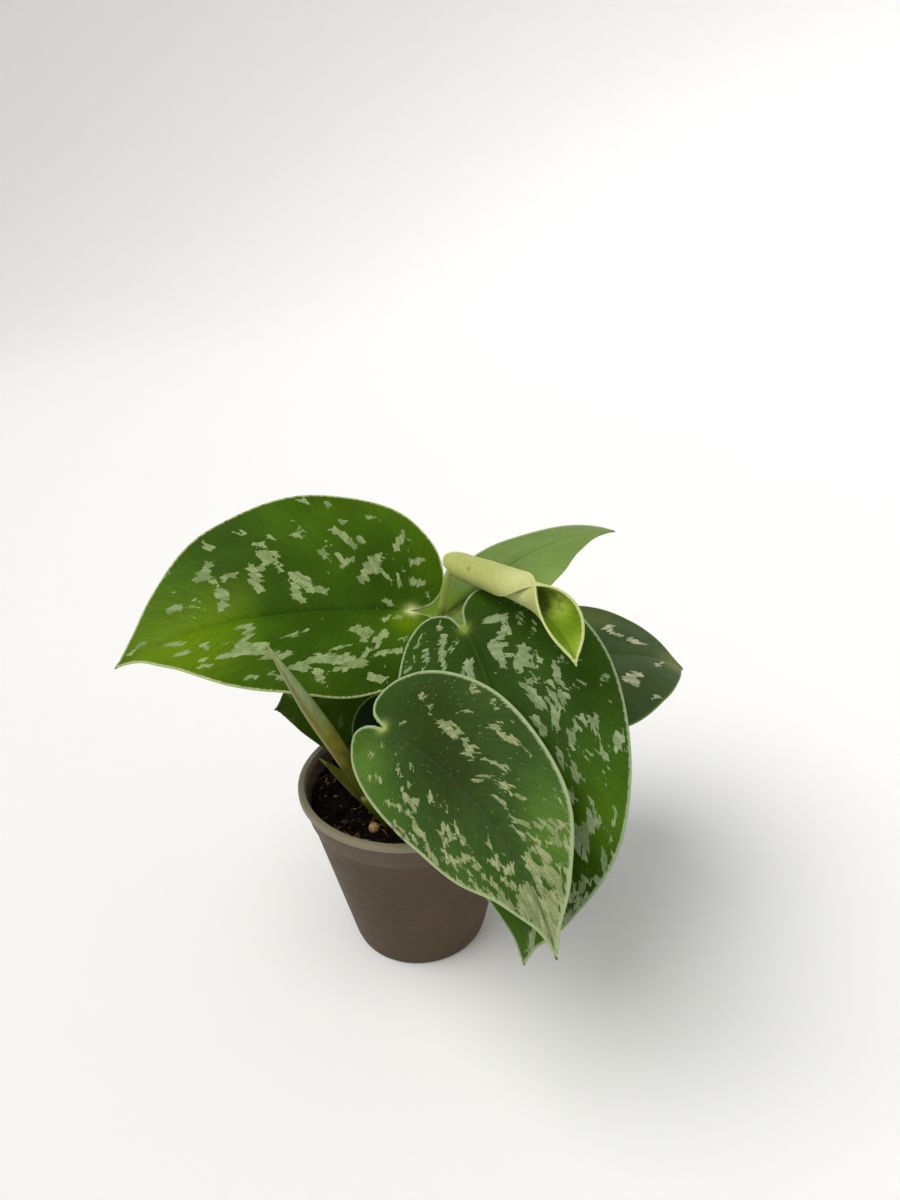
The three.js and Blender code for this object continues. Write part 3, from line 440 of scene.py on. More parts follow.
# Leaf skin. A living leaf's waxy upper skin: satin, with air-filled cells under the silver
# splashes, which scatter light and look paler and duller than the green around them.
def leaf_upper(name, look):
    material, tree, place = new_material(name)
    slope = add(tree, "Attribute", out="Vector", attribute_name="slope")
    mark, margin, rib, tint_and_painted_light, joint, dry = (
        add(tree, "Attribute", out="Fac", attribute_name=field)
        for field in ("mark", "margin", "rib", "tint_and_painted_light", "joint", "dry"))
    # Streaks along the side veins, and the cells' own mottle at about half a millimetre.
    veins, streak, fine, grain = leaf_grain(
        tree, place, (1.2, 9, 1), {"Scale": 1.6, "Detail": 3, "Roughness": 0.6},
        {"Scale": 3400, "Detail": 2, "Roughness": 0.6})

    # Green: two tones in patches about 18 mm across, then the lighter and darker tints, mostly
    # painted light and painted shade and partly the leaf's own colour.
    _, green = two_tones(tree, place, 55, 2, look["deep"], look["green"])
    for full, paint in ((1.0, look["glow_and_painted_light"]), (-1.0, look["dark_and_painted_shade"])):
        share = add(tree, "MapRange", {0: tint_and_painted_light, 1: 0.0, 2: full})
        green = add(tree, "Mix", {0: share, 6: green, 7: linear(paint)}, 2, data_type="RGBA")
    green = vary(tree, green, grain, 0.65, 1.35, 0.72, 1.28)

    # Silver splashes: blocks of cells that line up with the side veins are silver where the nearest
    # stroke, taken at the block's own middle, covers them. A slight ripple roughens their edges.
    ripple = add(tree, "TexNoise", {"Vector": veins, "Scale": 14, "Detail": 2}, "Color")
    ripple = add(tree, "VectorMath", {0: ripple, 1: (0.5, 0.5, 0.5)}, operation="SUBTRACT")
    flat = add(tree, "VectorMath", {0: ripple, 1: (0.012, 0.01, 0), 2: veins}, operation="MULTIPLY_ADD")
    size = look["cells"]
    scaled = add(tree, "VectorMath", {0: flat, 1: size}, operation="MULTIPLY")
    cell = add(tree, "TexVoronoi", {"Vector": scaled, "Scale": 1.0, "Randomness": 0.7},
               distance="CHEBYCHEV", voronoi_dimensions="2D").node.outputs
    shrink = (1 / size[0], 1 / size[1], 0)
    middle = add(tree, "VectorMath", {0: cell["Position"], 1: shrink}, operation="MULTIPLY")
    step = add(tree, "VectorMath", {0: middle, 1: flat}, operation="SUBTRACT")
    climb = add(tree, "VectorMath", {0: step, 1: slope}, "Value", operation="DOT_PRODUCT")
    drawn = add(tree, "SeparateColor", {0: cell["Color"]}).node.outputs
    push = add(tree, "MapRange", {0: drawn[0], 3: -look["ragged"], 4: look["ragged"]})
    covered = add(tree, "Math", {0: climb, 1: 0.7, 2: mark}, operation="MULTIPLY_ADD")
    covered = add(tree, "Math", {0: covered, 1: push}, operation="ADD")
    splash = add(tree, "MapRange", {0: covered, 1: 0.03, 2: -0.03})

    # Stray flecks of a few cells, away from the splashes.
    specks = add(tree, "Mapping", {"Vector": veins, "Scale": look["fleck_cells"]})
    fleck = add(tree, "TexVoronoi", {"Vector": specks, "Scale": 1.0}, distance="CHEBYCHEV").node.outputs
    chosen = add(tree, "SeparateColor", {0: fleck["Color"]}, 1)
    chosen = add(tree, "MapRange", {0: chosen, 1: 1 - look["flecks"], 2: 1.001 - look["flecks"]})
    near = add(tree, "MapRange", {0: fleck["Distance"], 1: 0.36, 2: 0.26, 4: 0.75})
    fleck = add(tree, "Math", {0: chosen, 1: near}, operation="MULTIPLY")
    splash = add(tree, "Math", {0: splash, 1: fleck}, operation="MAXIMUM")
    splash = add(tree, "Math", {0: splash, 1: look["cover"]}, operation="MULTIPLY")

    tone = add(tree, "Math", {0: drawn[1], 1: streak}, operation="MULTIPLY")
    tone = add(tree, "MapRange", {0: tone, 1: 0.05, 2: 0.45})
    silvers = {6: linear(look["silver_dull"]), 7: linear(look["silver"])}
    silver = add(tree, "Mix", {0: tone, **silvers}, 2, data_type="RGBA")
    silver = vary(tree, silver, fine, 0.35, 0.65, 0.76, 1.18)
    colour = add(tree, "Mix", {0: splash, 6: green, 7: silver}, 2, data_type="RGBA")

    # The midrib's own line, the pale rim, whose width wanders a little, and the joint and dry spots.
    line = add(tree, "MapRange", {0: rib, 1: 0.55, 2: 0.1, 3: 0, 4: look["rib_strength"]})
    wander = add(tree, "MapRange", {0: streak, 1: 0.3, 2: 0.7, 3: -0.16, 4: 0.16})
    rim = add(tree, "Math", {0: margin, 1: wander}, operation="ADD")
    rim = add(tree, "MapRange", {0: rim, 1: look["rim_width"], 2: look["rim_width"] * 0.45})
    for share, paint in ((line, look["rib"]), (rim, look["rim"]), (joint, look["joint"]), (dry, "6e5434")):
        colour = add(tree, "Mix", {0: share, 6: colour, 7: linear(paint)}, 2, data_type="RGBA")
    satin = add(tree, "MapRange", {0: fine, 1: 0.3, 2: 0.7, 3: 0.40, 4: 0.56})
    return finish(material, waxy(look, colour, satin), grain, 0.35, 0.00018)


# The lower skin has no silver: it is paler and duller, with faint veins in parallel.
def leaf_lower(name, look):
    material, tree, place = new_material(name)
    margin, tint_and_painted_light, rib, dry = (
        add(tree, "Attribute", out="Fac", attribute_name=field) for field in ("margin", "tint_and_painted_light", "rib", "dry"))
    grain = leaf_grain(
        tree, place, (0.35, 14, 1), {"Scale": 1.0, "Detail": 4, "Roughness": 0.65},
        {"Scale": 2200, "Detail": 2})[-1]
    _, colour = two_tones(tree, place, 70, 3, look["under_deep"], look["under"])
    # A lighter, yellower patch of the lower skin, mostly painted light: a painted glow where light would
    # shine through the blade.
    painted_glow_share = add(tree, "MapRange", {0: tint_and_painted_light, 1: 0.0, 2: 1.0})
    colour = add(tree, "Mix", {0: painted_glow_share, 6: colour, 7: linear(look["under_glow_and_painted_light"])}, 2, data_type="RGBA")
    colour = vary(tree, colour, grain, 0.6, 1.4, 0.84, 1.16)
    line = add(tree, "MapRange", {0: rib, 1: 1.2, 2: 0.2, 3: 0, 4: 0.5})
    rim = add(tree, "MapRange", {0: margin, 1: look["rim_width"] * 0.8, 2: 0.2})
    for share, paint in ((line, look["joint"]), (rim, look["rim"]), (dry, "7a5e28")):
        colour = add(tree, "Mix", {0: share, 6: colour, 7: linear(paint)}, 2, data_type="RGBA")
    return finish(material, waxy(look, colour, 0.55), grain, 0.3, 0.0002)


# Paints of each leaf's two skins. Widths are in millimetres. Cells are the blocks of cells in 10 mm
# along and across the veins, flecks the share of the stray blocks that are silver, and cover how
# solid the silver is. The lighter and darker greens that the tints mix in carry painted light and
# painted shade.
LOOKS = {
    # Its pale joint colour is partly the joint's own colour and partly a painted highlight.
    "leaf_left": dict(
        green="44680a", deep="345205", glow_and_painted_light="607f04", dark_and_painted_shade="2a4206", silver="9aac74", silver_dull="7c8e5c",
        rim="b0bb80", rib="3c640c", joint="dce49a", under="71894c", under_deep="5c783c", under_glow_and_painted_light="7f9630",
        rim_width=0.42, rib_strength=0.15, cells=(6, 7.5, 1), ragged=0.16, flecks=0.008, cover=0.96,
        fleck_cells=(9, 14, 1)),
    "leaf_centre": dict(
        green="345408", deep="274204", glow_and_painted_light="4c6e0c", dark_and_painted_shade="243c08", silver="93a278", silver_dull="74865c",
        rim="93a27c", rib="35521c", joint="7a9038", under="6d8650", under_deep="5a763e", under_glow_and_painted_light="7c9434",
        rim_width=0.66, rib_strength=0.4, cells=(6, 7.5, 1), ragged=0.18, flecks=0.02, cover=0.95,
        fleck_cells=(11, 15, 1)),
    # Its dark midrib line is partly the midrib's own colour and partly painted shade in the groove.
    "leaf_front": dict(
        green="385220", deep="2c4616", glow_and_painted_light="54762a", dark_and_painted_shade="28390f", silver="9ba274", silver_dull="7a885a",
        rim="9aab7c", rib="37402a", joint="9aa858", under="6d8650", under_deep="5a763e", under_glow_and_painted_light="7c9434",
        rim_width=0.85, rib_strength=0.5, cells=(7, 11, 1), ragged=0.2, flecks=0.03, cover=0.93,
        fleck_cells=(19, 25, 1)),
    "leaf_right": dict(
        green="43562e", deep="384a26", glow_and_painted_light="727c3c", dark_and_painted_shade="304026", silver="b6b996", silver_dull="929876",
        rim="6f7f4a", rib="2f4424", joint="98995c", under="68804c", under_deep="54703c", under_glow_and_painted_light="7a8e34",
        rim_width=0.42, rib_strength=0.15, cells=(7.5, 9, 1), ragged=0.22, flecks=0.006, cover=0.95,
        fleck_cells=(11, 15, 1)),
    # Its lower skin's pale glaucous greens are partly its own colour and partly a painted sheen of light from
    # above.
    "leaf_back": dict(
        green="335a0c", deep="284a08", glow_and_painted_light="4f7210", dark_and_painted_shade="243c0a", silver="94a678", silver_dull="7a8f5c",
        rim="9fb37a", rib="33540c", joint="90b056", under="a8cc6e", under_deep="98bc5e", under_glow_and_painted_light="a0ca30",
        rim_width=0.5, rib_strength=0.3, cells=(7.5, 8.5, 1), ragged=0.26, flecks=0.02, cover=0.95,
        fleck_cells=(9, 14, 1)),
    # Its paints are darkened for a leaf low under the others: painted shade.
    "leaf_low": dict(
        green="385205", deep="283f03", glow_and_painted_light="465e04", dark_and_painted_shade="203403", silver="5c6e48", silver_dull="485a36",
        rim="48582a", rib="1c3008", joint="6a7830", under="587034", under_deep="48602a", under_glow_and_painted_light="6a8222",
        rim_width=0.35, rib_strength=0.3, cells=(7.5, 8.5, 1), ragged=0.26, flecks=0.0, cover=0.7,
        fleck_cells=(9, 14, 1)),
    # Its paints are nearly black for a leaf deep under the others: painted shade.
    "leaf_inner": dict(
        green="182e0c", deep="13260a", glow_and_painted_light="203612", dark_and_painted_shade="0c1a07", silver="5a6850", silver_dull="46543c",
        rim="6c7a4c", rib="18280f", joint="5a6430", under="3b5028", under_deep="2f4220", under_glow_and_painted_light="4a5e1c",
        rim_width=0.5, rib_strength=0.3, cells=(7.5, 8.5, 1), ragged=0.26, flecks=0.0, cover=0.6,
        fleck_cells=(9, 14, 1)),
    # Its very bright lighter colour lifts the roll's shaded throat: painted light.
    "leaf_unfurling": dict(
        green="6a8a10", deep="587808", glow_and_painted_light="d0e660", dark_and_painted_shade="3a5406", silver="a2b45e", silver_dull="8a9e40",
        rim="c6cd8c", rib="48680c", joint="b0ba74", under="b2b86e", under_deep="a6ac62", under_glow_and_painted_light="c4ca88",
        rim_width=0.5, rib_strength=0.4, cells=(7, 9, 1), ragged=0.3, flecks=0.01, cover=0.8,
        fleck_cells=(9, 14, 1), through=0.5),
}


def outline_of(leaf):
    """Points round half a leaf, flat, from the notch to the tip: along, across, and the vein's root."""
    points = np.array(HALF_LEAF, float)
    points[:, 1] -= leaf["point"] * np.array(TIP_DRAW)
    if leaf.get("opening"):
        points[:, 0] = np.maximum(points[:, 0], 0)
    points = np.vstack([2 * points[0] - points[1], points, 2 * points[-1] - points[-2]])
    spans = len(points) - 3
    place = np.linspace(0, spans, OUTLINE_SAMPLES)
    low = np.minimum(place.astype(int), spans - 1)
    t = (place - low)[:, None]
    p0, p1, p2, p3 = (points[low + i] for i in range(4))
    bend, twist = 2 * p0 - 5 * p1 + 4 * p2 - p3, 3 * p1 - p0 - 3 * p2 + p3
    return (2 * p1 + (p2 - p0) * t + bend * t**2 + twist * t**3) / 2


def vein_points(leaf, place, share):
    """Flat places on the side veins: place runs from notch to tip, share from midrib to margin."""
    outline = outline_of(leaf)
    samples = np.linspace(0, 1, OUTLINE_SAMPLES)
    along, across, root = (np.interp(place, samples, outline[:, i]) for i in range(3))
    root = np.clip(root, 0, 1)
    return root + (along - root) * share**VEIN_BOW, np.maximum(across, 0) * share


def leaf_surface(leaf, x, y, lift=0.0):
    """Points of the blade in metres, lift millimetres over its middle surface, at flat places x and
    y: y is above 0 on the left."""
    x, y = np.broadcast_arrays(np.asarray(x, float), np.asarray(y, float))
    heading = math.radians(leaf["heading"])
    ahead = np.array([math.cos(heading), math.sin(heading), 0])
    side = np.array([-math.sin(heading), math.cos(heading), 0])
    upright = np.array([0, 0, 1.0])

    def climb_and_sway(s):
        climb = np.radians(leaf["climb"] - leaf["droop"] * s - leaf["tip_droop"] * s**3)
        return climb[:, None], np.radians(leaf["sway"] * s)[:, None]

    def along_at(s):
        climb, sway = climb_and_sway(s)
        return np.cos(climb) * (np.cos(sway) * ahead + np.sin(sway) * side) + np.sin(climb) * upright

    middles = (np.arange(MIDRIB_STEPS) + 0.5) / MIDRIB_STEPS
    rib = np.vstack([np.zeros(3), np.cumsum(along_at(middles), axis=0)]) * leaf["length"] / MIDRIB_STEPS
    on_rib = np.clip(x, 0, 1)
    stations = np.linspace(0, 1, MIDRIB_STEPS + 1)
    base = np.stack([np.interp(on_rib, stations, rib[:, k]) for k in range(3)], -1)
    along = along_at(on_rib)
    _, sway = climb_and_sway(on_rib)
    left = np.cos(sway) * side - np.sin(sway) * ahead
    normal = np.cross(along, left)
    base = base + along * (np.minimum(x, 0) * leaf["length"])[:, None]
    roll = np.radians(leaf["roll"] + leaf["twist"] * x)[:, None]
    across = left * np.cos(roll) + normal * np.sin(roll)
    over = normal * np.cos(roll) - left * np.sin(roll)

    half = np.where(y >= 0, 0, 1)
    sign = np.where(y >= 0, 1.0, -1.0)
    t = np.abs(y)
    closed = 1 - leaf.get("opening", 0) * on_rib ** leaf.get("opening_power", 1)
    base_width = leaf.get("base_width", 1)
    fullness = base_width + (1 - base_width) * np.minimum(1, on_rib / FULL_WIDTH_AT)
    width = np.array(leaf["width"], float)[half] * fullness
    fold = np.radians(np.array(leaf["fold"], float))[half]
    curl = np.radians(np.array(leaf["curl"], float))[half] * closed
    curl = np.where(np.abs(curl) < 1e-6, 1e-6, curl)
    out = (np.sin(fold + curl * t) - np.sin(fold)) / curl * width
    rise = (np.cos(fold) - np.cos(fold + curl * t)) / curl * width
    rise = rise + leaf["wave"] * np.sin(2 * np.pi * (leaf["waves"] * x + leaf["wave_phase"])) * t * t
    slope = (sign * (fold + curl * t))[:, None]
    face = over * np.cos(slope) - across * np.sin(slope)
    points = np.array(leaf["joint"], float) + base + across * (sign * out)[:, None] + over * rise[:, None]
    points = points + face * np.broadcast_to(lift, x.shape)[:, None]
    return points * MM


# Relief of a blade, in millimetres: half the groove's width, the size of the puckers along and
# across, and how far from the midrib they come to their full height.
GROOVE_HALF_WIDTH = 0.9
PUCKER_LENGTH = 9
PUCKER_WIDTH = 7
PUCKER_FROM = 4
YOUNG_PUCKER = 0.35
# How far from a splash its distance is still told, in millimetres, and how steep it may be.
FAR_FROM_SPLASH = 3.0
STEEPEST = 1.5
# The pale spot where the stalk meets the blade: how far behind it, how long and how wide.
JOINT_BEHIND = 0.6
JOINT_LENGTH = 1.5
JOINT_WIDTH = 1.4


def in_millimetres(leaf, x, y):
    """Flat places on the leaf, shares of its length and of each half's width, in millimetres."""
    return x * leaf["length"], y * np.where(np.asarray(y) >= 0, leaf["width"][0], leaf["width"][1])


def groove_depth(settings, x, across_mm):
    """How deep the groove over the midrib is, in millimetres: it fades out at both ends."""
    fade = np.clip((0.98 - x) / 0.5, 0, 1) * np.clip((x + 0.01) / 0.06, 0, 1)
    return settings.groove / MM * fade * np.exp(-(across_mm / GROOVE_HALF_WIDTH) ** 2)


def leaf_relief(settings, leaf, seed, x, y, place, share):
    """Height of groove, side veins and puckering over the smooth blade, in millimetres."""
    _, across = in_millimetres(leaf, x, y)
    aside = np.abs(across)
    height = -groove_depth(settings, x, aside)
    ridge = (0.5 + 0.5 * np.cos(2 * np.pi * place * settings.vein_count)) ** 5
    height -= settings.vein_depth / MM * ridge * np.sin(np.pi * np.clip(share, 0, 1)) ** 0.5
    pucker = np.array([
        noise.noise(Vector((a * leaf["length"] / PUCKER_LENGTH, b / PUCKER_WIDTH, seed)))
        for a, b in zip(x, across)
    ])
    calm = np.clip(aside / PUCKER_FROM, 0, 1) * (YOUNG_PUCKER if leaf.get("opening") else 1.0)
    return height + settings.puckering / MM * pucker * calm


def stroke_distance(px, py, stroke):
    """Distance in millimetres from flat points to a stroke's edge, below 0 inside it."""
    ax, ay, bx, by, half_width = stroke
    dx, dy = bx - ax, by - ay
    reach = np.clip(((px - ax) * dx + (py - ay) * dy) / (dx * dx + dy * dy + 1e-9), 0, 1)
    return np.hypot(px - ax - dx * reach, py - ay - dy * reach) - half_width


def scattered(leaf, count, seed, x_range, y_range):
    """Strokes along the side veins by a seeded draw, for what the photo doesn't show."""
    draw = random.Random(seed)
    strokes = []
    while len(strokes) < count:
        place, share = draw.uniform(0.1, 0.95), draw.uniform(0.12, 0.93)
        side = draw.choice((1, -1))
        length, half_width = draw.uniform(0.04, 0.2), draw.uniform(0.35, 1.15)
        xs, ys = vein_points(leaf, np.array([place, place]), np.array([share, min(share + length, 0.95)]))
        ys = ys * side
        if x_range[0] <= xs[0] <= x_range[1] and y_range[0] <= ys[0] <= y_range[1]:
            strokes.append((xs[0], ys[0], xs[1], ys[1], half_width))
    return strokes


def splash_distance(name, leaf, x, y):
    """Distance in millimetres from flat places on the leaf to the nearest splash's edge."""
    px, py = in_millimetres(leaf, x, y)
    strokes = list(SPLASHES.get(name, []))
    for draw in SCATTER.get(name, []):
        strokes += scattered(leaf, *draw)
    nearest = np.full(x.shape, FAR_FROM_SPLASH)
    for ax, ay, bx, by, half_width in strokes:
        flat = (*in_millimetres(leaf, ax, ay), *in_millimetres(leaf, bx, by), half_width)
        nearest = np.minimum(nearest, stroke_distance(px, py, flat))
    return nearest


def vein_lengths(leaf, place, right):
    """How long the side vein is and how far round the margin it ends, both in millimetres."""
    outline = outline_of(leaf)
    samples = np.linspace(0, 1, OUTLINE_SAMPLES)
    found = []
    for width in leaf["width"]:
        along, across = outline[:, 0] * leaf["length"], outline[:, 1] * width
        reach = np.hypot(along - outline[:, 2] * leaf["length"], across)
        round_margin = np.concatenate([[0], np.cumsum(np.hypot(np.diff(along), np.diff(across)))])
        found.append([np.interp(place, samples, values) for values in (np.maximum(reach, 1), round_margin)])
    return [np.where(right, on_right, on_left) for on_left, on_right in zip(*found)]


def splash_slope(name, leaf, place, share, right, mark):
    """How fast the splash distance changes along the vein and round the margin, per UV unit."""
    sign = np.where(right, -1.0, 1.0)
    step = 0.002

    def change(place_step, share_step):
        x, y = vein_points(leaf, place + place_step, share + share_step)
        moved = splash_distance(name, leaf, x, y * sign)
        reach, margin = vein_lengths(leaf, place + place_step, right)
        return moved - mark, reach * (share + share_step), margin

    reach, margin = vein_lengths(leaf, place, right)
    turn_place = np.where(place < 0.5, step, -step)
    turn_share = np.where(share < 0.5, step, -step)
    share_change, reached, _ = change(0, turn_share)
    along = share_change / (reached - reach * share)
    place_change, reached, ended = change(turn_place, 0)
    around = (place_change - along * (reached - reach * share)) / (ended - margin)
    slope = np.stack([along, around, np.zeros(len(along))], 1)
    return np.clip(np.nan_to_num(slope), -STEEPEST, STEEPEST) * UV_UNIT


def leaf_fields(name, leaf, x, y):
    """What the leaf's materials read at each vertex, in millimetres or as shares."""
    px, py = in_millimetres(leaf, x, y)

    def spots(table):
        """Each spot of a table: how many of its radii every vertex is away, and what else it says."""
        for spot_x, spot_y, radius, *rest in table.get(name, []):
            spot_x, spot_y = in_millimetres(leaf, spot_x, spot_y)
            yield np.hypot(px - spot_x, py - spot_y) / radius, rest

    # Lighter and darker tints, mostly painted light and painted shade, partly the leaf's own colour.
    tint_and_painted_light = np.zeros(x.shape)
    for away, (strength,) in spots(TINTS_AND_PAINTED_LIGHT):
        tint_and_painted_light += strength * np.exp(-away ** 2)
    dry = np.zeros(x.shape)
    for away, _ in spots(DRY_SPOTS):
        dry = np.maximum(dry, np.clip(1.4 - away, 0, 1))
    outline = outline_of(leaf)
    margin = np.zeros(x.shape)
    for width, sign in zip(leaf["width"], (1, -1)):
        pick = np.where(y * sign >= 0)[0]
        along = px[pick, None] - outline[:, 0] * leaf["length"]
        across = py[pick, None] - outline[:, 1] * width * sign
        margin[pick] = np.hypot(along, across).min(1)
    return {
        "margin": np.clip(margin, 0, 5),
        "rib": np.clip(np.abs(py), 0, 5),
        "tint_and_painted_light": np.clip(tint_and_painted_light, -1, 1),
        "dry": dry,
        "joint": np.exp(-((px + JOINT_BEHIND) / JOINT_LENGTH) ** 2 - (py / JOINT_WIDTH) ** 2),
    }


def object_from(bm, name, materials):
    """A smooth-shaded object from a bmesh, at the origin."""
    mesh = bpy.data.meshes.new(name)
    bm.to_mesh(mesh)
    bm.free()
    mesh.polygons.foreach_set("use_smooth", [True] * len(mesh.polygons))
    made = bpy.data.objects.new(name, mesh)
    bpy.context.scene.collection.objects.link(made)
    for material in materials:
        mesh.materials.append(material)
    return made


# A blade's grid: its side veins, the rows in each half, and how much closer together they lie near
# midrib and margin. The map of the veins counts in units of 10 mm, and its right half lies apart.
BLADE_COLUMNS = 150
BLADE_ROWS = 44
ROW_CROWDING = 0.09
UV_UNIT = 10
RIGHT_HALF_SHIFT = 3.7


def build_blade(settings, leaf_name, leaf, materials, seed):
    """A leaf blade from one grid: its columns are side veins from notch to tip, its rows run from
    the left margin over the midrib to the right one."""
    bm = bmesh.new()
    bmesh.ops.create_grid(bm, x_segments=BLADE_COLUMNS, y_segments=2 * BLADE_ROWS, size=1)
    co = np.array([v.co for v in bm.verts])
    place = (co[:, 0] + 1) / 2
    step = np.abs(co[:, 1])
    share = step - ROW_CROWDING * np.sin(2 * np.pi * step)
    sign = np.where(co[:, 1] >= 0, 1.0, -1.0)
    x, y = vein_points(leaf, place, share)
    y = y * sign
    points = leaf_surface(leaf, x, y, leaf_relief(settings, leaf, seed, x, y, place, share))
    flat = {"place": place, "share": share * sign, "x": x, "y": y}
    layers = {key: bm.verts.layers.float.new(key) for key in flat}
    for i, v in enumerate(bm.verts):
        v.co = points[i]
        for key, values in flat.items():
            v[layers[key]] = values[i]
    bmesh.ops.remove_doubles(bm, verts=bm.verts[:], dist=2e-6)
    blade = object_from(bm, leaf_name + "_blade", materials)

    # The flat places are read back after the doubles are merged, and then dropped.
    mesh = blade.data
    for key in flat:
        values = np.zeros(len(mesh.vertices), np.float32)
        mesh.attributes[key].data.foreach_get("value", values)
        flat[key] = values.astype(float)
        mesh.attributes.remove(mesh.attributes[key])
    x, y, place = flat["x"], flat["y"], flat["place"]
    share, right = np.abs(flat["share"]), flat["share"] < 0
    mark = splash_distance(leaf_name, leaf, x, y)
    fields = {**leaf_fields(leaf_name, leaf, x, y), "mark": np.clip(mark, -FAR_FROM_SPLASH, FAR_FROM_SPLASH)}
    for key, values in fields.items():
        attribute = mesh.attributes.new(key, "FLOAT", "POINT")
        attribute.data.foreach_set("value", values.astype(np.float32))
    slope = mesh.attributes.new("slope", "FLOAT_VECTOR", "POINT")
    slope.data.foreach_set("vector", splash_slope(leaf_name, leaf, place, share, right, mark).ravel())

    corner_vertex = np.zeros(len(mesh.loops), int)
    mesh.loops.foreach_get("vertex_index", corner_vertex)
    totals = np.zeros(len(mesh.polygons), int)
    mesh.polygons.foreach_get("loop_total", totals)
    owner = np.repeat(np.arange(len(totals)), totals)
    on_right = (np.bincount(owner, flat["share"][corner_vertex]) < 0)[owner]
    reach, margin = vein_lengths(leaf, place[corner_vertex], on_right)
    shift = np.where(on_right, RIGHT_HALF_SHIFT, 0)
    corners = np.stack([reach * share[corner_vertex] / UV_UNIT + shift, margin / UV_UNIT + shift], 1)
    mesh.uv_layers.new(name="veins").data.foreach_set("uv", corners.astype(np.float32).ravel())

    skin = blade.modifiers.new("Thickness", "SOLIDIFY")
    skin.thickness = settings.thickness
    skin.offset = 0
    skin.material_offset = 1
    skin.material_offset_rim = 1
    return blade


def smooth_route(route, steps):
    """Evenly spaced points on a smooth curve through the route."""
    points = np.array(route, float)
    points = np.vstack([2 * points[0] - points[1], points, 2 * points[-1] - points[-2]])
    fine = []
    for i in range(1, len(points) - 2):
        p = points[i - 1:i + 3]
        knots = np.concatenate([[0], np.cumsum(np.sqrt(np.linalg.norm(np.diff(p, axis=0), axis=1)))])
        t = np.linspace(knots[1], knots[2], 24, endpoint=False)[:, None]
        a = [((knots[k + 1] - t) * p[k] + (t - knots[k]) * p[k + 1]) / (knots[k + 1] - knots[k])
             for k in range(3)]
        b = [((knots[k + 2] - t) * a[k] + (t - knots[k]) * a[k + 1]) / (knots[k + 2] - knots[k])
             for k in range(2)]
        fine.append(((knots[2] - t) * b[0] + (t - knots[1]) * b[1]) / (knots[2] - knots[1]))
    fine = np.vstack(fine + [points[-2][None]])
    run = np.concatenate([[0], np.cumsum(np.linalg.norm(np.diff(fine, axis=0), axis=1))])
    even = np.linspace(0, run[-1], steps + 1)
    return np.stack([np.interp(even, run, fine[:, k]) for k in range(3)], 1)


def tube_into(bm, route, radii, sides=14, steps=60, section=None, follow=False):
    """Adds a closed tube along a route in millimetres: a grid rolled up, its seam merged and its
    ends filled. section(turn, along) scales the radius across and over. Each vertex keeps its place
    along the tube, and round it how far it faces the viewer and the viewer's right. A tube that
    bends over follows its route without a twist."""
    line = smooth_route(route, steps)
    ahead = np.gradient(line, axis=0)
    ahead /= np.linalg.norm(ahead, axis=1)[:, None]
    across = np.cross(np.array(TUBE_UP), ahead)
    if follow:
        for i in range(1, len(across)):
            across[i] = across[i - 1] - ahead[i] * np.dot(across[i - 1], ahead[i])
    across /= np.linalg.norm(across, axis=1)[:, None]
    over = np.cross(ahead, across)
    layers = bm.verts.layers.float
    along_layer, near_layer, right_layer = (
        layers.get(key) or layers.new(key) for key in ("along", "near", "right"))
    made = bmesh.ops.create_grid(bm, x_segments=steps, y_segments=sides, size=1)["verts"]
    for v in made:
        along = (v.co.x + 1) / 2
        turn = (v.co.y + 1) / 2
        station = min(int(round(along * steps)), steps)
        radius = float(np.interp(along * (len(radii) - 1), range(len(radii)), radii))
        wide, tall = section(turn % 1.0, along) if section else (1, 1)
        angle = 2 * math.pi * turn
        point = line[station] + across[station] * radius * wide * math.cos(angle)
        point = point + over[station] * radius * tall * math.sin(angle)
        v.co = point * MM
        v[along_layer] = along
        v[near_layer] = math.cos(angle)
        v[right_layer] = math.sin(angle)
    faces = {face for v in made for face in v.link_faces}
    bmesh.ops.remove_doubles(bm, verts=made, dist=1e-6)
    faces = [face for face in faces if face.is_valid]
    open_edges = {edge for face in faces for edge in face.edges if edge.is_boundary}
    caps = bmesh.ops.holes_fill(bm, edges=list(open_edges), sides=0)["faces"]
    bmesh.ops.recalc_face_normals(bm, faces=faces + caps)


def groove_section(turn, along):
    """A leaf stalk is round below and shallowly grooved on top."""
    dent = 1 - 0.16 * math.exp(-((turn - 0.25) / 0.09) ** 2) * math.sin(math.pi * min(1, along * 1.1))
    return 1, dent


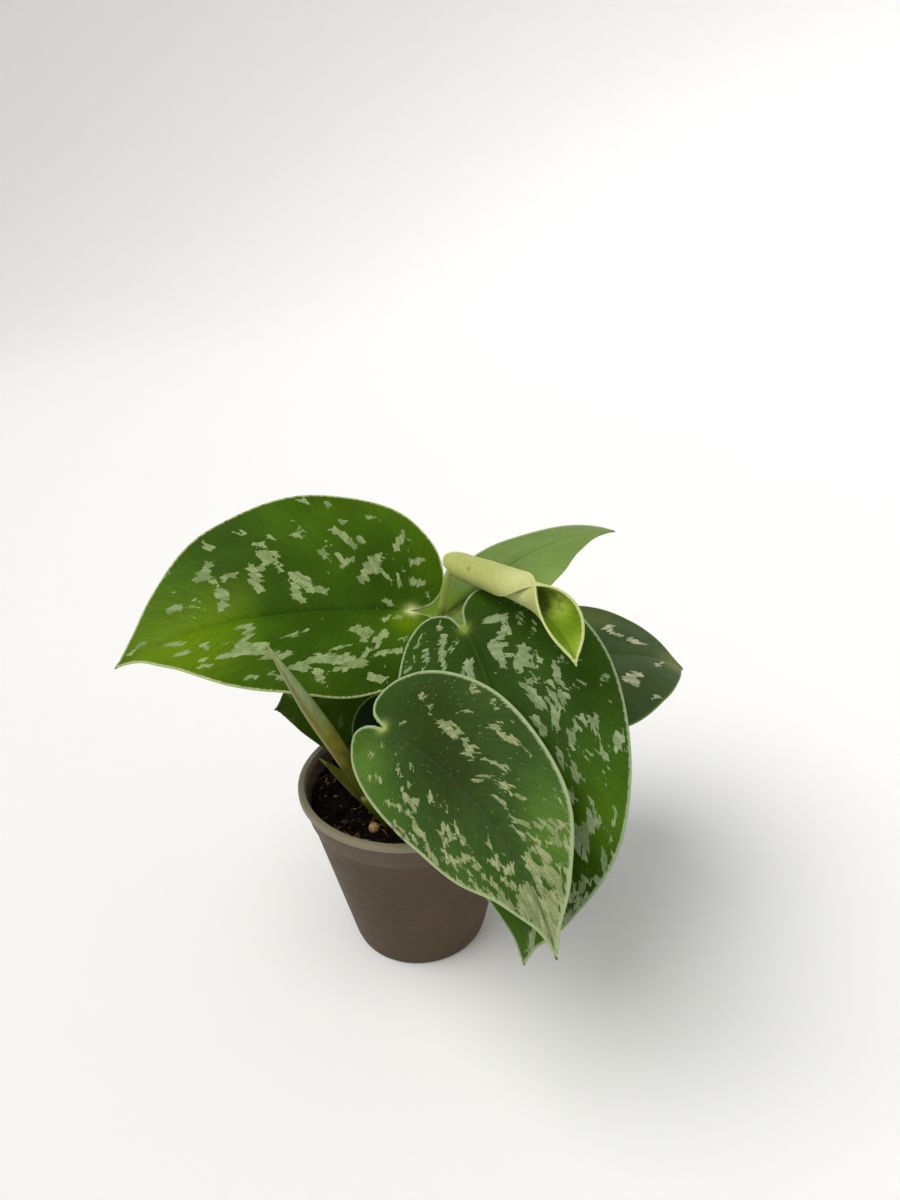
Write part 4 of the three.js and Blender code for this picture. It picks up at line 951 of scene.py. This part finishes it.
def build_stalk(settings, name, leaf, materials, soil_level):
    """The stalk up from the soil and on under the blade as a tapering rib."""
    buried = soil_level / MM - STALK_DEPTH
    route = [(*leaf["foot"], buried + rise) for rise in STALK_UPRIGHT] + leaf["stalk"]
    narrowing = np.interp(np.linspace(0, 1, len(route)), [0, 0.25, 1], [1, 0.95, 0.82])
    radii_at = list(leaf["stalk_radius"] * narrowing)
    last = leaf.get("rib_end", 1)
    stations = [leaf.get("rib_start", RIB_STATIONS[0])] + [x for x in RIB_STATIONS[1:] if x < last]
    tapers = RIB_TAPER[:len(stations)]
    if last < 1:
        stations.append(last)
        tapers.append(RIB_END_TAPER)
    for x, taper in zip(stations, tapers):
        radius = leaf["stalk_radius"] * taper
        sink = groove_depth(settings, x, 0.0) + radius + RIB_CLEARANCE
        route.append(tuple(leaf_surface(leaf, [x], [0.0], -sink)[0] / MM))
        radii_at.append(radius)
    spans = np.concatenate([[0], np.cumsum(np.linalg.norm(np.diff(np.array(route), axis=0), axis=1))])
    even = np.linspace(0, spans[-1], 40)
    radii = list(np.interp(even, spans, radii_at))
    bm = bmesh.new()
    tube_into(bm, route, radii, steps=90, section=groove_section, follow=True)
    knee = bm.verts.layers.float.new("knee")
    joint = Vector(leaf["joint"]) * MM
    for v in bm.verts:
        v[knee] = math.exp(-((v.co - joint).length / KNEE_REACH) ** 2)
    return object_from(bm, name, materials)


def along_stem(tree, place, scale, sway, stops):
    """Colours from a stem's base to its end, with borders that wander: the colour, the place along
    the stem, the wandering and both together."""
    along = add(tree, "Attribute", out="Fac", attribute_name="along")
    uneven = add(tree, "TexNoise", {"Vector": place, "Scale": scale, "Detail": 3})
    shift = add(tree, "MapRange", {0: uneven, 1: 0.3, 2: 0.7, 3: -sway, 4: sway})
    where = add(tree, "Math", {0: along, 1: shift}, operation="ADD")
    colour = add(tree, "ValToRGB", {0: where})
    ramp = colour.node.color_ramp
    while len(ramp.elements) < len(stops):
        ramp.elements.new(0.5)
    for element, (stop, paint) in zip(ramp.elements, stops):
        element.position = stop
        element.color = linear(paint)
    return colour, along, shift, where


def fibrous(material, place, colour, stretch, roughness, strength):
    """Ends a stem's material: fine fibres along it, in its colour and its relief."""
    tree = material.node_tree
    stretched = add(tree, "Mapping", {"Vector": place, "Scale": stretch})
    fibres = add(tree, "TexNoise", {"Vector": stretched, "Scale": 1, "Detail": 2})
    colour = vary(tree, colour, fibres, 0.3, 0.7, 0.88, 1.12)
    surface = {"Base Color": colour, "Roughness": roughness, "Specular IOR Level": 0.15}
    return finish(material, surface, fibres, strength, 0.0001)


# Living stalk: smooth, waxy and slightly fleshy, olive where it leaves the soil and paler and
# yellower where it swells to meet the blade.
def stalk_skin(name, stops):
    material, tree, place = new_material(name)
    colour, _, _, _ = along_stem(tree, place, 260, 0.07, stops)
    knee = add(tree, "Attribute", out="Fac", attribute_name="knee")
    colour = add(tree, "Mix", {0: knee, 6: colour, 7: linear("b2bc6a")}, 2, data_type="RGBA")
    return fibrous(material, place, colour, (2400, 2400, 260), 0.42, 0.25)


# The rolled new leaf: silver-green wax above, yellow-green below, and a pinkish brown line where
# its outer margin lies along the roll. The silver-green is laid on the side turned to the viewer's
# right, partly the wax's own colour and partly a painted sheen. Turns go round it from the side
# that faces the viewer.
SEAM_TURN = 0.01
WAX_SHEEN_TURN = 0.22
SPIKE_STOPS = [(0.0, "484a08"), (0.24, "4a4e04"), (0.36, "6e6c10"), (0.48, "7c7e22"), (0.6, "76823a"),
               (0.76, "7e8c50"), (1.0, "a8b070")]


def spike_skin(name):
    material, tree, place = new_material(name)
    colour, along, shift, where = along_stem(tree, place, 180, 0.08, SPIKE_STOPS)
    near, right = (add(tree, "Attribute", out="Fac", attribute_name=field) for field in ("near", "right"))

    def facing(turn):
        """How far a point of the tube faces a turn, from -1 to 1."""
        angle = 2 * math.pi * turn
        part = add(tree, "Math", {0: near, 1: math.cos(angle)}, operation="MULTIPLY")
        return add(tree, "Math", {0: right, 1: math.sin(angle), 2: part}, operation="MULTIPLY_ADD")

    # The side turned to the viewer's right is paler: partly wax, partly painted sheen.
    wax = add(tree, "MapRange", {0: facing(WAX_SHEEN_TURN), 1: 0.45, 2: 1.0, 3: 0, 4: 0.75})
    upper = add(tree, "MapRange", {0: where, 1: 0.4, 2: 0.72})
    line = add(tree, "Math", {0: facing(SEAM_TURN), 1: shift}, operation="ADD")
    line = add(tree, "MapRange", {0: line, 1: 0.92, 2: 1.0, 3: 0, 4: 0.45})
    tinged = add(tree, "MapRange", {0: along, 1: 0.22, 2: 0.36})
    for round_share, along_share, paint in ((wax, upper, "a2b682"), (line, tinged, "86603c")):
        share = add(tree, "Math", {0: round_share, 1: along_share}, operation="MULTIPLY")
        colour = add(tree, "Mix", {0: share, 6: colour, 7: linear(paint)}, 2, data_type="RGBA")
    return fibrous(material, place, colour, (2600, 2600, 300), 0.45, 0.3)


def spike_section(turn, along):
    """The roll's outer margin stands a little proud and steps down at the seam."""
    reach = 1 + 0.16 * ((turn - SEAM_TURN) % 1.0)
    return reach, reach


def sheath_section(turn, along):
    """A sheath is flat and hollowed on its upper side."""
    over = math.sin(2 * math.pi * turn)
    hollow = 0.55 if over > 0 else 0.45
    return 1, hollow - 0.4 * max(0, over) * math.sin(math.pi * along)


# The pot's own lines, in metres: the rolled rim and how far it stands out, the shoulder's place
# and step, and the floor, foot and drain holes.
POT_SIDES = 160
RIM_BAND = 0.0016
RIM_OVERHANG = 0.0007
RIM_BEAD = 0.00035
SHOULDER_DROP = 0.0075
SHOULDER_STEP = 0.00035
SHOULDER_BEVEL = 0.0004
POT_FLOOR = 0.0013
FLOOR_RECESS = 0.0002
FOOT_RING = 0.0035
FOOT_ROUND = 0.0008
DRAIN_RADIUS = 0.0022
DRAIN_CIRCLE = 0.0115


# Polypropylene, injection moulded in a lightly textured steel mould: a dull grey-brown with soft,
# wide highlights, a few scuffs, a paler rim and shoulder, and fine potting dust. The grey-brown is
# darker and warmer than the grey plastic itself: painted shade and a painted warm reflection.
def pot_plastic():
    material, tree, place = new_material("moulded grey polypropylene")
    # Base tones darker and browner than the plastic: painted shade and a painted warm reflection.
    _, colour = two_tones(tree, place, 45, 3, "4a3c2c", "524230")
    height = add(tree, "SeparateXYZ", {0: place}, "Z")
    rim_foot, shoulder = POT_HIGH.z - RIM_BAND, POT_HIGH.z - SHOULDER_DROP
    lip = add(tree, "MapRange", {0: height, 1: rim_foot - 0.0003, 2: rim_foot + 0.0003})
    band = add(tree, "MapRange", {0: height, 1: shoulder - 0.0002, 2: shoulder + 0.0002, 3: 0, 4: 0.16})
    dust = add(tree, "TexNoise", {"Vector": place, "Scale": 900, "Detail": 5, "Roughness": 0.7})
    dusty = add(tree, "MapRange", {0: dust, 1: 0.62, 2: 0.72, 3: 0, 4: 0.45})
    for share, paint in ((lip, "857d66"), (band, "7a7462"), (dusty, "433a2c")):
        colour = add(tree, "Mix", {0: share, 6: colour, 7: linear(paint)}, 2, data_type="RGBA")
    drawn = add(tree, "Mapping", {"Vector": place, "Scale": (260, 260, 2600)})
    scuff = add(tree, "TexNoise", {"Vector": drawn, "Scale": 1, "Detail": 3})
    rough = add(tree, "MapRange", {0: scuff, 1: 0.3, 2: 0.7, 3: 0.48, 4: 0.68})
    grain = add(tree, "TexNoise", {"Vector": place, "Scale": 3200, "Detail": 2})
    relief = add(tree, "Math", {0: grain, 1: scuff}, operation="ADD")
    surface = {"Base Color": colour, "Roughness": rough, "Specular IOR Level": 0.2}
    return finish(material, surface, relief, 0.2, 0.0001)


# Moist peat and coir: nearly black, rough, with brown and ochre bits of bark and fibre.
def earth(name, dark, light, fleck, fleck_share, roughness):
    material, tree, place = new_material(name)
    broad, colour = two_tones(tree, place, 420, 6, dark, light, high=0.7, roughness=0.7)
    cell = add(tree, "TexVoronoi", {"Vector": place, "Scale": 900}, "Color")
    pick = add(tree, "SeparateColor", {0: cell})
    chosen = add(tree, "MapRange", {0: pick, 1: 1 - fleck_share, 2: 1.02 - fleck_share, 4: 0.8})
    colour = add(tree, "Mix", {0: chosen, 6: colour, 7: linear(fleck)}, 2, data_type="RGBA")
    surface = {"Base Color": colour, "Roughness": roughness, "Specular IOR Level": 0.1}
    return finish(material, surface, broad, 0.8, 0.0006)


# A slow-release pellet: a thin resin shell over salts, tan and slightly glossy.
def pellet_resin():
    material, tree, place = new_material("resin-coated pellet")
    broad, colour = two_tones(tree, place, 1300, 4, "8a6834", "b89460", low=0.3, high=0.7)
    return finish(material, {"Base Color": colour, "Roughness": 0.4, "IOR": 1.5}, broad, 0.4, 0.0002)


def polar(radius, angle):
    """Where a radius and an angle lead."""
    return radius * math.cos(angle), radius * math.sin(angle)


def spun(profile, sides, weld):
    """A profile of (radius, height) pairs spun round the upright axis, its doubles merged."""
    bm = bmesh.new()
    verts = [bm.verts.new((x, 0, z)) for x, z in profile]
    edges = [bm.edges.new(pair) for pair in zip(verts, verts[1:])]
    bmesh.ops.spin(bm, geom=verts + edges, cent=(0, 0, 0), axis=(0, 0, 1), angle=2 * math.pi,
                   steps=sides, use_merge=True)
    bmesh.ops.remove_doubles(bm, verts=bm.verts[:], dist=weld)
    return bm


class POTHOS_OT_pot(bpy.types.Operator):
    """Spin the pot's wall and lip and cut its drain holes."""
    bl_idname = "pothos.pot"
    bl_label = "Nursery pot"

    def execute(self, context):
        pot = context.scene.pothos_pot
        collar = pot.rim_radius - RIM_OVERHANG
        shoulder = pot.height - SHOULDER_DROP
        band_foot = pot.height - RIM_BAND

        def wall_at(height):
            top = collar - SHOULDER_STEP
            return pot.foot_radius + (top - pot.foot_radius) * height / band_foot

        def quarter(x, z, radius, start, end, steps=5):
            angles = [math.radians(start + (end - start) * i / steps) for i in range(steps + 1)]
            return [(x + radius * math.cos(a), z + radius * math.sin(a)) for a in angles]

        bevel_top, inside_foot = shoulder + SHOULDER_BEVEL, POT_FLOOR + 0.001
        lip_round = RIM_BEAD * 1.6
        profile = [
            (0, FLOOR_RECESS), (pot.foot_radius - FOOT_RING - 0.0005, FLOOR_RECESS),
            (pot.foot_radius - FOOT_RING, 0),
            *quarter(pot.foot_radius - FOOT_ROUND, FOOT_ROUND, FOOT_ROUND, -90, -10),
            *[(wall_at(z), z) for z in np.linspace(0.002, shoulder - SHOULDER_BEVEL, 10)],
            (wall_at(shoulder) + SHOULDER_STEP * 0.5, shoulder),
            (wall_at(bevel_top) + SHOULDER_STEP, bevel_top),
            (collar - 0.0001, band_foot - 0.0003), (collar, band_foot),
            *quarter(pot.rim_radius - RIM_BEAD, band_foot + RIM_BEAD, RIM_BEAD, -80, 0),
            *quarter(pot.rim_radius - lip_round, pot.height - lip_round, lip_round, 0, 90),
            *quarter(collar - pot.wall + RIM_BEAD, pot.height - RIM_BEAD, RIM_BEAD, 90, 180),
            (wall_at(shoulder) - pot.wall, shoulder), (wall_at(inside_foot) - pot.wall, inside_foot),
            (wall_at(POT_FLOOR) - pot.wall - 0.0008, POT_FLOOR), (0, POT_FLOOR),
        ]
        bm = spun(profile, POT_SIDES, 1e-6)
        bmesh.ops.recalc_face_normals(bm, faces=bm.faces[:])
        body = object_from(bm, "pot_shell", [pot_plastic()])

        cutters = bmesh.new()
        for i in range(pot.drains):
            angle = 2 * math.pi * (i + 0.5) / pot.drains
            at = Matrix.Translation((*polar(DRAIN_CIRCLE, angle), POT_FLOOR / 2))
            bmesh.ops.create_cone(cutters, cap_ends=True, segments=32, radius1=DRAIN_RADIUS,
                                  radius2=DRAIN_RADIUS, depth=4 * POT_FLOOR, matrix=at)
        cutter = object_from(cutters, "drain_cutter", [])
        cut = body.modifiers.new("Drains", "BOOLEAN")
        cut.operation = "DIFFERENCE"
        cut.object = cutter
        cut.solver = "EXACT"
        context.view_layer.update()
        drilled = bpy.data.meshes.new_from_object(body.evaluated_get(context.evaluated_depsgraph_get()))
        body.modifiers.remove(cut)
        body.data = drilled
        bpy.data.objects.remove(cutter)
        drilled.set_sharp_from_angle(angle=math.radians(40))
        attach(body, ROOT)
        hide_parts("pot")
        return {"FINISHED"}


# How many rings and sides the soil's surface has, how many bits lie on it, and how far out, as a
# share of the soil's radius.
SOIL_RINGS = 90
SOIL_SIDES = 200
CRUMBS = 900
FLECKS = 150
FIBRES = 70
SOIL_REACH = 0.965
# The soil's clods and grit, across and high in millimetres.
CLOD_SIZE = 7
CLOD_HEIGHT = 0.9
GRIT_SIZE = 1.9
GRIT_HEIGHT = 0.45
# The part of the pot's wall near the viewer, in degrees, and the share of the fibres along it.
NEAR_WALL = (215, 305)
NEAR_SHARE = 0.55


def soil_height(level, x, y):
    """Height of the soil in metres at a place in metres: clods and grit."""
    at = Vector((x / MM, y / MM, 0))
    clods = noise.fractal(at / CLOD_SIZE, 1.0, 2.0, 2) * CLOD_HEIGHT
    grit = noise.fractal(at / GRIT_SIZE, 1.0, 2.0, 3) * GRIT_HEIGHT
    return level + (clods + grit) * MM


class POTHOS_OT_soil(bpy.types.Operator):
    """Fill the pot with soil: a lumpy surface, crumbs, bark flecks and coir fibres."""
    bl_idname = "pothos.soil"
    bl_label = "Soil"

    def execute(self, context):
        pot = context.scene.pothos_pot
        level = pot.soil_level
        low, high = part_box("soil")
        edge = high.x
        foot = edge - (pot.rim_radius - pot.foot_radius) * (level - low.z) / pot.height
        bm = bmesh.new()
        bmesh.ops.create_grid(bm, x_segments=SOIL_RINGS, y_segments=SOIL_SIDES, size=1)
        for v in bm.verts:
            x, y = polar(edge * (v.co.x + 1) / 2, math.pi * (v.co.y + 1))
            v.co = (x, y, soil_height(level, x, y))
        bmesh.ops.remove_doubles(bm, verts=bm.verts[:], dist=1e-6)
        rim = [e for e in bm.edges if e.is_boundary]
        down = bmesh.ops.extrude_edge_only(bm, edges=rim)["geom"]
        for v in (g for g in down if isinstance(g, bmesh.types.BMVert)):
            v.co.x *= foot / edge
            v.co.y *= foot / edge
            v.co.z = low.z
        bmesh.ops.holes_fill(bm, edges=[e for e in bm.edges if e.is_boundary], sides=0)
        bmesh.ops.recalc_face_normals(bm, faces=bm.faces[:])
        peat = earth("moist peat", "040302", "150f08", "5a431c", 0.035, 0.95)
        body = object_from(bm, "soil_bed", [peat])
        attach(body, ROOT)
        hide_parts("soil")

        draw = random.Random(5)

        def spot(reach=SOIL_REACH):
            radius = edge * reach * math.sqrt(draw.random())
            return polar(radius, draw.uniform(0, 2 * math.pi))

        def scatter(name, count, material, sizes, flatness, lift):
            """Strews flat, uneven bits of a size in millimetres, lifted by a share of their height."""
            bits = bmesh.new()
            for _ in range(count):
                x, y = spot()
                size = draw.uniform(*sizes) * MM
                z = soil_height(level, x, y) + size * flatness * lift
                turn = Euler([draw.uniform(-0.5, 0.5), draw.uniform(-0.5, 0.5), draw.uniform(0, 6.3)])
                wide, deep = size * draw.uniform(0.7, 1.3), size * draw.uniform(0.5, 1.0)
                stretch = Matrix.Diagonal((wide, deep, size * flatness, 1))
                matrix = Matrix.Translation((x, y, z)) @ turn.to_matrix().to_4x4() @ stretch
                for v in bmesh.ops.create_icosphere(bits, subdivisions=1, radius=1, matrix=matrix)["verts"]:
                    v.co += Vector([draw.uniform(-0.22, 0.22) * size for _ in range(3)])
            made = object_from(bits, name, [material])
            made.data.polygons.foreach_set("use_smooth", [False] * len(made.data.polygons))
            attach(made, ROOT)

        crumb = earth("peat crumb", "040302", "1a130b", "6a4a22", 0.05, 0.95)
        bark = earth("bark fleck", "5a3d18", "8f6a30", "b08a4a", 0.2, 0.8)
        scatter("soil_crumbs", CRUMBS, crumb, sizes=(0.25, 0.95), flatness=0.7, lift=0.15)
        scatter("soil_flecks", FLECKS, bark, sizes=(0.2, 0.6), flatness=0.45, lift=0.5)

        coir = bmesh.new()
        for i in range(FIBRES):
            if i < FIBRES * NEAR_SHARE:
                angle = draw.uniform(math.radians(NEAR_WALL[0]), math.radians(NEAR_WALL[1]))
                x, y = polar(edge * draw.uniform(0.86, SOIL_REACH), angle)
                heading = angle + math.pi / 2 + draw.uniform(-0.8, 0.8)
            else:
                x, y = spot(0.9)
                heading = draw.uniform(0, 2 * math.pi)
            length = draw.uniform(1.5, 5.0) * MM
            bend = draw.uniform(-0.5, 0.5)
            route = []
            for k in range(5):
                go = heading + bend * (k - 2) * 0.6
                px = x + math.cos(go) * length * (k - 2) / 4
                py = y + math.sin(go) * length * (k - 2) / 4
                off = min(1.0, edge * SOIL_REACH / max(math.hypot(px, py), 1e-6))
                lift = 0.25 * math.sin(math.pi * k / 4) * draw.uniform(0.4, 1.6)
                pz = soil_height(level, px * off, py * off) / MM + 0.12 + lift
                route.append((px * off / MM, py * off / MM, pz))
            thick = draw.uniform(0.08, 0.17)
            tube_into(coir, route, [thick * 0.5, thick, thick * 0.8, thick * 0.4], sides=5, steps=8)
        fibre = earth("coir fibre", "503417", "8e6532", "ac864e", 0.15, 0.75)
        fibres = object_from(coir, "soil_fibres", [fibre])
        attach(fibres, ROOT)
        return {"FINISHED"}


class POTHOS_OT_pellet(bpy.types.Operator):
    """Seat the slow-release pellet in the soil."""
    bl_idname = "pothos.pellet"
    bl_label = "Pellet"

    def execute(self, context):
        low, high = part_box("pellet")
        centre = (low + high) / 2
        radius = (high.x - low.x) / 2
        bm = bmesh.new()
        bmesh.ops.create_icosphere(bm, subdivisions=4, radius=radius, matrix=Matrix.Translation(centre))
        for v in bm.verts:
            away = v.co - centre
            v.co = centre + away * (0.97 + 0.03 * noise.noise(away / (0.6 * MM)))
        pellet = object_from(bm, "fertiliser_pellet", [pellet_resin()])
        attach(pellet, ROOT)
        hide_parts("pellet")
        return {"FINISHED"}


class POTHOS_OT_stem(bpy.types.Operator):
    """Grow the front stem, its sheath and the rolled new leaf in it."""
    bl_idname = "pothos.stem"
    bl_label = "Front stem"

    def execute(self, context):
        bm = bmesh.new()
        tube_into(bm, STEM_ROUTE, STEM_RADII, sides=24, steps=40)
        tube_into(bm, SHEATH_ROUTE, SHEATH_RADII, sides=24, steps=50, section=sheath_section)
        stops = [(0.0, "38380a"), (0.35, "41450a"), (0.85, "49520e"), (1.0, "84844a")]
        stem = object_from(bm, "front_stem", [stalk_skin("living stem", stops)])
        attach(stem, ROOT)
        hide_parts("stem_front")
        bm = bmesh.new()
        tube_into(bm, SPIKE_ROUTE, SPIKE_RADII, sides=64, steps=120, section=spike_section)
        spike = object_from(bm, "rolled_leaf", [spike_skin("waxy rolled leaf")])
        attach(spike, ROOT)
        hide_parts("leaf_spike")
        return {"FINISHED"}


class POTHOS_OT_leaves(bpy.types.Operator):
    """Grow every open leaf: a blade from its veins, and its stalk."""
    bl_idname = "pothos.leaves"
    bl_label = "Leaves"

    def execute(self, context):
        settings = context.scene.pothos_leaf
        level = context.scene.pothos_pot.soil_level
        stops = [(0.0, "54560c"), (0.3, "586a16"), (0.62, "6a7c22"), (0.74, "8a9c40"), (1.0, "93a452")]
        stalk_material = stalk_skin("living leaf stalk", stops)
        for seed, (name, leaf) in enumerate(LEAVES.items()):
            look = LOOKS[name]
            skins = [leaf_upper(name + " upper skin", look), leaf_lower(name + " lower skin", look)]
            blade = build_blade(settings, name, leaf, skins, seed * 7.3)
            stalk = build_stalk(settings, name + "_stalk", leaf, [stalk_material], level)
            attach(blade, ROOT)
            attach(stalk, ROOT)
            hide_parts(name)
        return {"FINISHED"}


# Where the window light comes from and how broad it is, in degrees, and the floor: how far out it
# reaches, how high it rises and the radius of its bend, in metres.
KEY_DIRECTION = (-0.55, -0.25, 1.0)
KEY_SPREAD = 50
FLOOR_REACH = 1.6
FLOOR_RISE = 1.3
FLOOR_BEND = 0.5


class POTHOS_OT_stage(bpy.types.Operator):
    """Set the camera, a pale floor that curves up all round, and soft studio light."""
    bl_idname = "pothos.stage"
    bl_label = "Stage"

    def execute(self, context):
        stage = context.scene.pothos_stage
        down, roll = math.radians(CAMERA_DOWN), math.radians(CAMERA_ROLL)
        look = Vector((0, math.cos(down), -math.sin(down)))
        level_up = Vector((0, math.sin(down), math.cos(down)))
        level_right = Vector((1, 0, 0))
        right = level_right * math.cos(roll) + level_up * math.sin(roll)
        up = level_up * math.cos(roll) - level_right * math.sin(roll)
        data = bpy.data.cameras.new("camera")
        data.lens = CAMERA_LENS
        data.sensor_width = CAMERA_SENSOR
        data.sensor_fit = "AUTO"
        data.clip_start = 0.01
        camera = bpy.data.objects.new("camera", data)
        context.scene.collection.objects.link(camera)
        turn = Matrix((right, up, -look)).transposed().to_4x4()
        camera.matrix_world = Matrix.Translation(CAMERA_PLACE) @ turn
        context.scene.camera = camera

        middle = FLOOR_REACH - FLOOR_BEND
        profile = [(0, 0), (middle, 0)]
        profile += [(middle + FLOOR_BEND * math.sin(a), FLOOR_BEND - FLOOR_BEND * math.cos(a))
                    for a in np.linspace(0.1, math.pi / 2, 12)]
        profile += [(FLOOR_REACH, FLOOR_RISE)]
        bm = spun(profile, 64, 1e-5)
        material, tree, place = new_material("pale matt floor")
        faint = add(tree, "TexNoise", {"Vector": place, "Scale": 400, "Detail": 2})
        rough = add(tree, "MapRange", {0: faint, 3: 0.75, 4: 0.85})
        surface = {"Base Color": (*stage.floor_colour, 1), "Roughness": rough, "Specular IOR Level": 0.2}
        finish(material, surface)
        object_from(bm, "floor", [material])

        world = bpy.data.worlds.new("soft sky")
        world.use_nodes = True
        sky = world.node_tree.nodes["Background"]
        sky.inputs["Color"].default_value = (1.0, 1.0, 1.0, 1)
        sky.inputs["Strength"].default_value = stage.sky
        context.scene.world = world
        context.scene.view_settings.view_transform = "Standard"

        light = bpy.data.lights.new("window", "SUN")
        light.angle = math.radians(KEY_SPREAD)
        light.energy = stage.key_power
        light.color = (1.0, 0.985, 0.96)
        lamp = bpy.data.objects.new("window", light)
        lamp.rotation_euler = Vector(KEY_DIRECTION).to_track_quat("Z", "Y").to_euler()
        context.scene.collection.objects.link(lamp)
        return {"FINISHED"}


class POTHOS_PT_panel(bpy.types.Panel):
    """The pothos's sizes and the steps that build it."""
    bl_idname = "POTHOS_PT_panel"
    bl_label = "Potted satin pothos"
    bl_space_type = "VIEW_3D"
    bl_region_type = "UI"
    bl_category = "Pothos"

    def draw(self, context):
        for group in (context.scene.pothos_pot, context.scene.pothos_leaf, context.scene.pothos_stage):
            box = self.layout.box()
            for key in group.bl_rna.properties.keys():
                if key not in ("rna_type", "name"):
                    box.prop(group, key)
        for step in OPERATORS:
            self.layout.operator(step.bl_idname)


GROUPS = {"pothos_pot": PotSettings, "pothos_leaf": LeafSettings, "pothos_stage": StageSettings}
OPERATORS = [POTHOS_OT_stage, POTHOS_OT_pot, POTHOS_OT_soil, POTHOS_OT_pellet, POTHOS_OT_stem,
             POTHOS_OT_leaves]


def register():
    for cls in [*GROUPS.values(), *OPERATORS, POTHOS_PT_panel]:
        bpy.utils.register_class(cls)
    for key, group in GROUPS.items():
        setattr(bpy.types.Scene, key, bpy.props.PointerProperty(type=group))


def unregister():
    for key in GROUPS:
        delattr(bpy.types.Scene, key)
    for cls in reversed([*GROUPS.values(), *OPERATORS, POTHOS_PT_panel]):
        bpy.utils.unregister_class(cls)


def main():
    register()
    bpy.ops.pothos.stage()
    bpy.ops.pothos.pot()
    bpy.ops.pothos.soil()
    bpy.ops.pothos.pellet()
    bpy.ops.pothos.stem()
    bpy.ops.pothos.leaves()


if __name__ == "__main__":
    main()
